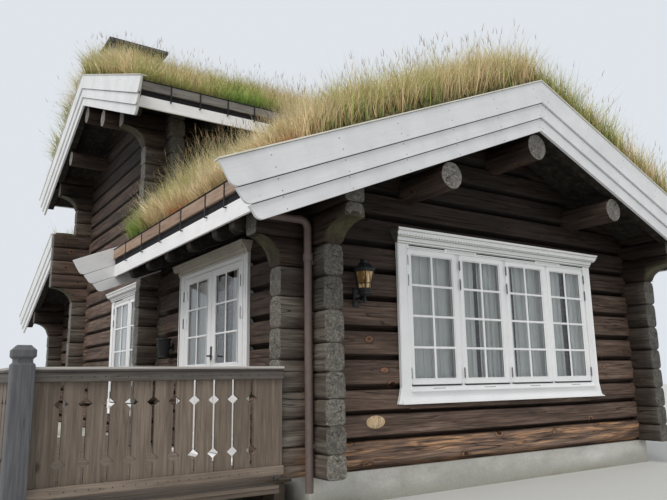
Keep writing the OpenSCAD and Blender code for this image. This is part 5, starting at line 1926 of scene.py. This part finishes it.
def stone_row(bm, face, a, end, z0, z1):
    """Stones of chance widths on one face of the stack, laid from a to the end."""
    low, high = CHIMNEY
    axis = face % 2
    across = 1 - axis
    while a < end - 0.02:
        width = rng.uniform(0.16, 0.34)
        if end - a - width < 0.12:
            width = end - a
        out = STONE_PROUD * rng.uniform(0.55, 1.0)
        depth = (low[across] - out, low[across] + STONE_DEPTH)
        if face > 1:
            depth = (high[across] - STONE_DEPTH, high[across] + out)
        corners = Vector((0, 0, z0 + JOINT_HALF)), Vector((0, 0, z1 - JOINT_HALF))
        for corner, s, d in zip(corners, (a + JOINT_HALF, a + width - JOINT_HALF), depth):
            corner[axis], corner[across] = s, d
        add_board(bm, *corners, X_AXIS, 0.012)
        a += width


def chimney_stones():
    shape = new_shape()
    low, high = CHIMNEY
    z = STONES_FROM
    row = 0
    while z < high.z - 0.03:
        height = min(rng.uniform(0.085, 0.165), high.z - z)
        if high.z - z - height < 0.06:
            height = high.z - z
        for face in range(4):
            proud = STONE_PROUD if (row + face) % 2 else 0
            stone_row(shape, face, low[face % 2] - proud, high[face % 2] + proud, z, z + height)
        z += height
        row += 1
    piece("chimney_stones", shape, (STONE,))


chimney_stones()


# A branch sawn off flush, which shows pale on the gable

def branch_cut():
    shape = new_shape()
    add_ball(shape, (-1.668, FRONT + 0.003, 0.635), 0.1, 0, (1.0, 0.12, 0.54), 3)
    piece("branch_cut", shape, (PALE_CUT,), crease=60)


branch_cut()


# Lamp beside the terrace door: a ribbed cone on an arm

LAMP_LOW, LAMP_HIGH = 1.275, 1.500
LAMP_RIBS = 24


def wall_lamp():
    shape = new_shape()
    cx, cy = -HALF - 0.110, 3.0
    foot, head = Vector((cx, cy, LAMP_LOW)), Vector((cx, cy, LAMP_HIGH))
    r0, r1 = 0.054, 0.077
    add_round(shape, foot, head - Z_AXIS * 0.01, r0, r1, 48)
    for k in range(LAMP_RIBS):
        turn = heading_of(math.tau * k / LAMP_RIBS)
        start, end = foot + Z_AXIS * 0.014 + turn * r0, head - Z_AXIS * 0.020 + turn * r1
        add_round(shape, start, end, 0.0042, 0.0052, 6)
    add_round(shape, foot, foot + Z_AXIS * 0.016, 0.064, sides=48, edge=0.003)
    add_round(shape, head - Z_AXIS * 0.020, head, 0.088, sides=48, edge=0.003)
    add_round(shape, (cx, cy, 1.395), (-HALF - 0.010, cy, 1.395), 0.016)
    add_board(shape, (-HALF - 0.020, cy - 0.030, 1.365), (-HALF + 0.002, cy + 0.030, 1.425), Z_AXIS)
    piece("ribbed_lamp", shape, (BLACK,), stands_for=["wall_lamp"])


wall_lamp()


# Lantern on the gable: a six-sided body in discs, which hangs from a crook

LANTERN_LOW, LANTERN_HIGH = 1.742, 1.890
LANTERN_R = (0.062, 0.088)
RAIL_LIFT = 0.045

# Its discs, as (foot, top, lower radius, upper radius); the first one is the panes
LANTERN_DISCS = (
    (1.748, 1.886, 0.056, 0.082), (1.716, 1.742, 0.060, 0.068), (1.890, 1.904, 0.094, 0.100),
    (1.700, 1.716, 0.070, 0.066), (1.684, 1.702, 0.030, 0.060), (1.904, 1.914, 0.104, 0.104),
    (1.914, 1.958, 0.098, 0.046), (1.958, 1.964, 0.052, 0.052), (1.964, 1.990, 0.036, 0.032),
    (1.988, 1.995, 0.040, 0.036))


def lantern():
    shape = new_shape()
    cx, cy = -1.85, FRONT - 0.130
    low, high, (r0, r1) = LANTERN_LOW, LANTERN_HIGH, LANTERN_R

    def corner(z, r, k):
        return Vector((cx, cy, z)) + heading_of(math.radians(60 * k)) * r

    for k in range(6):
        add_round(shape, corner(low, r0, k), corner(high, r1, k), 0.0055, sides=8)
        for z, r, bar in ((low, r0, 0.0050), (high, r1, 0.0050), (low + RAIL_LIFT, r0 + 0.0062, 0.0030)):
            add_round(shape, corner(z, r, k), corner(z, r, k + 1), bar, sides=8)
    for number, (z0, z1, ra, rb) in enumerate(LANTERN_DISCS):
        verts = bmesh.ops.create_cone(
            shape, cap_ends=True, segments=6, radius1=ra, radius2=rb, depth=z1 - z0)["verts"]
        turn = Matrix.Rotation(math.radians(30), 4, "Z")
        bmesh.ops.transform(shape, matrix=Matrix.Translation((cx, cy, (z0 + z1) / 2)) @ turn, verts=verts)
        pane = number == 0
        finish_form(shape, verts, Z_AXIS, 1 if pane else 0, 0.0 if pane else 0.002)
    add_round(shape, (cx, cy, 1.650), (cx, cy, 1.690), 0.010, sides=12)
    add_ball(shape, (cx, cy, 1.642), 0.018)
    arm_z, hook_r = 1.671, 0.040
    add_round(shape, (cx, cy, arm_z), (cx, FRONT - 0.012, arm_z), 0.009, sides=12)

    def hook(i):
        a = math.radians(22.5 * i)
        return (cx, FRONT - 0.062 + hook_r * math.cos(a), arm_z - hook_r * math.sin(a))

    for i in range(9):
        add_round(shape, hook(i), hook(i + 1), 0.005, sides=8)
    add_board(shape, (cx - 0.032, FRONT - 0.012, 1.600), (cx + 0.032, FRONT + 0.004, 1.760), Z_AXIS, 0.004)
    piece("hanging_lantern", shape, (BLACK, AMBER), stands_for=["wall_lantern"])


lantern()


# Finishes on the CAD pieces that stay

def dress(node, finish):
    """Gives a CAD piece its finish in every material slot."""
    materials = frame["nodes"][node].data.materials
    if not materials:
        materials.append(finish)
    for index in range(len(materials)):
        materials[index] = finish


for nodes, finish in (
        (("foundation",), CONCRETE), (("floor",), FLOOR),
        (("wing_roof_left", "wing_roof_right"), SHADED_ROOF_WOOD),
        (("tall_roof_front", "tall_roof_rear", "leanto_roof"), SHADED_ROOF_WOOD),
        (("chimney_stack",), MORTAR), (("chimney_cap",), SLATE),
        (("front_window", "side_windows", "door_frame", "door_leaf_near", "door_leaf_far"), WHITE),
        (("window_glass", "door_glass_near", "door_glass_far"), GLASS), (("downpipe",), PIPE)):
    for name in nodes:
        dress(name, finish)
# The door's cornice is given the darker beige paint
door_mesh = frame["nodes"]["door_frame"].data
door_mesh.materials.append(BEIGE_PAINT)
for polygon in door_mesh.polygons:
    if polygon.center.z > DOOR_TOP + 0.058:
        polygon.material_index = len(door_mesh.materials) - 1


# Floor, light and camera

def stage_floor():
    bm = bmesh.new()
    bmesh.ops.create_grid(bm, x_segments=1, y_segments=1, size=60.0)
    ground = Finish("stage_floor", 0.9).finish((0.55, 0.55, 0.53, 1))
    made = show("stage_floor", mesh_of("stage_floor", bm, ground))


def sky_and_sun():
    """A white sky for light, a bluer one for the lens, glass and gloss, and a soft sun."""
    world = bpy.data.worlds.new("soft_sky")
    bpy.context.scene.world = world
    world.use_nodes = True
    tree = world.node_tree
    tree.nodes.clear()
    seen = add_node(tree, "ShaderNodeBackground", {"Color": (0.74, 0.78, 0.83, 1)})
    light = add_node(tree, "ShaderNodeBackground", {"Color": (0.94, 0.97, 1.0, 1), "Strength": 0.75})
    rays = add_node(tree, "ShaderNodeLightPath", {}).outputs
    either = rays["Is Camera Ray"]
    for kind in ("Is Glossy Ray", "Is Transmission Ray"):
        either = add_node(tree, "ShaderNodeMath", {0: either, 1: rays[kind]}, operation="MAXIMUM").outputs[0]
    mix = add_node(tree, "ShaderNodeMixShader", {0: either, 1: light.outputs[0], 2: seen.outputs[0]})
    add_node(tree, "ShaderNodeOutputWorld", {"Surface": mix.outputs[0]})

    sun = bpy.data.lights.new("soft_sun", "SUN")
    sun.energy = 1.7
    sun.angle = math.radians(30)
    sun.color = (1.0, 0.97, 0.92)
    lamp = show("soft_sun", sun)
    lamp.rotation_euler = Vector((0.80, 0.42, -0.95)).to_track_quat("-Z", "Y").to_euler()


def photo_camera():
    """The camera as solved from the photo's straight lines."""
    yaw, pitch, roll = math.radians(33.83), math.radians(11.196), math.radians(-0.864)
    forward = Vector((math.sin(yaw) * math.cos(pitch), math.cos(yaw) * math.cos(pitch), math.sin(pitch)))
    level = Vector((math.cos(yaw), -math.sin(yaw), 0))
    plumb = level.cross(forward)
    right = level * math.cos(roll) + plumb * math.sin(roll)
    up = plumb * math.cos(roll) - level * math.sin(roll)
    data = bpy.data.cameras.new("photo_camera")
    data.lens = 35.1
    data.sensor_width = 36.0
    camera = show("photo_camera", data)
    turn = Matrix((right, up, -forward)).transposed().to_4x4()
    camera.matrix_world = Matrix.Translation((-5.108, -4.627, 1.0)) @ turn
    bpy.context.scene.camera = camera


stage_floor()
sky_and_sun()
photo_camera()
bpy.context.scene.view_settings.view_transform = "Standard"
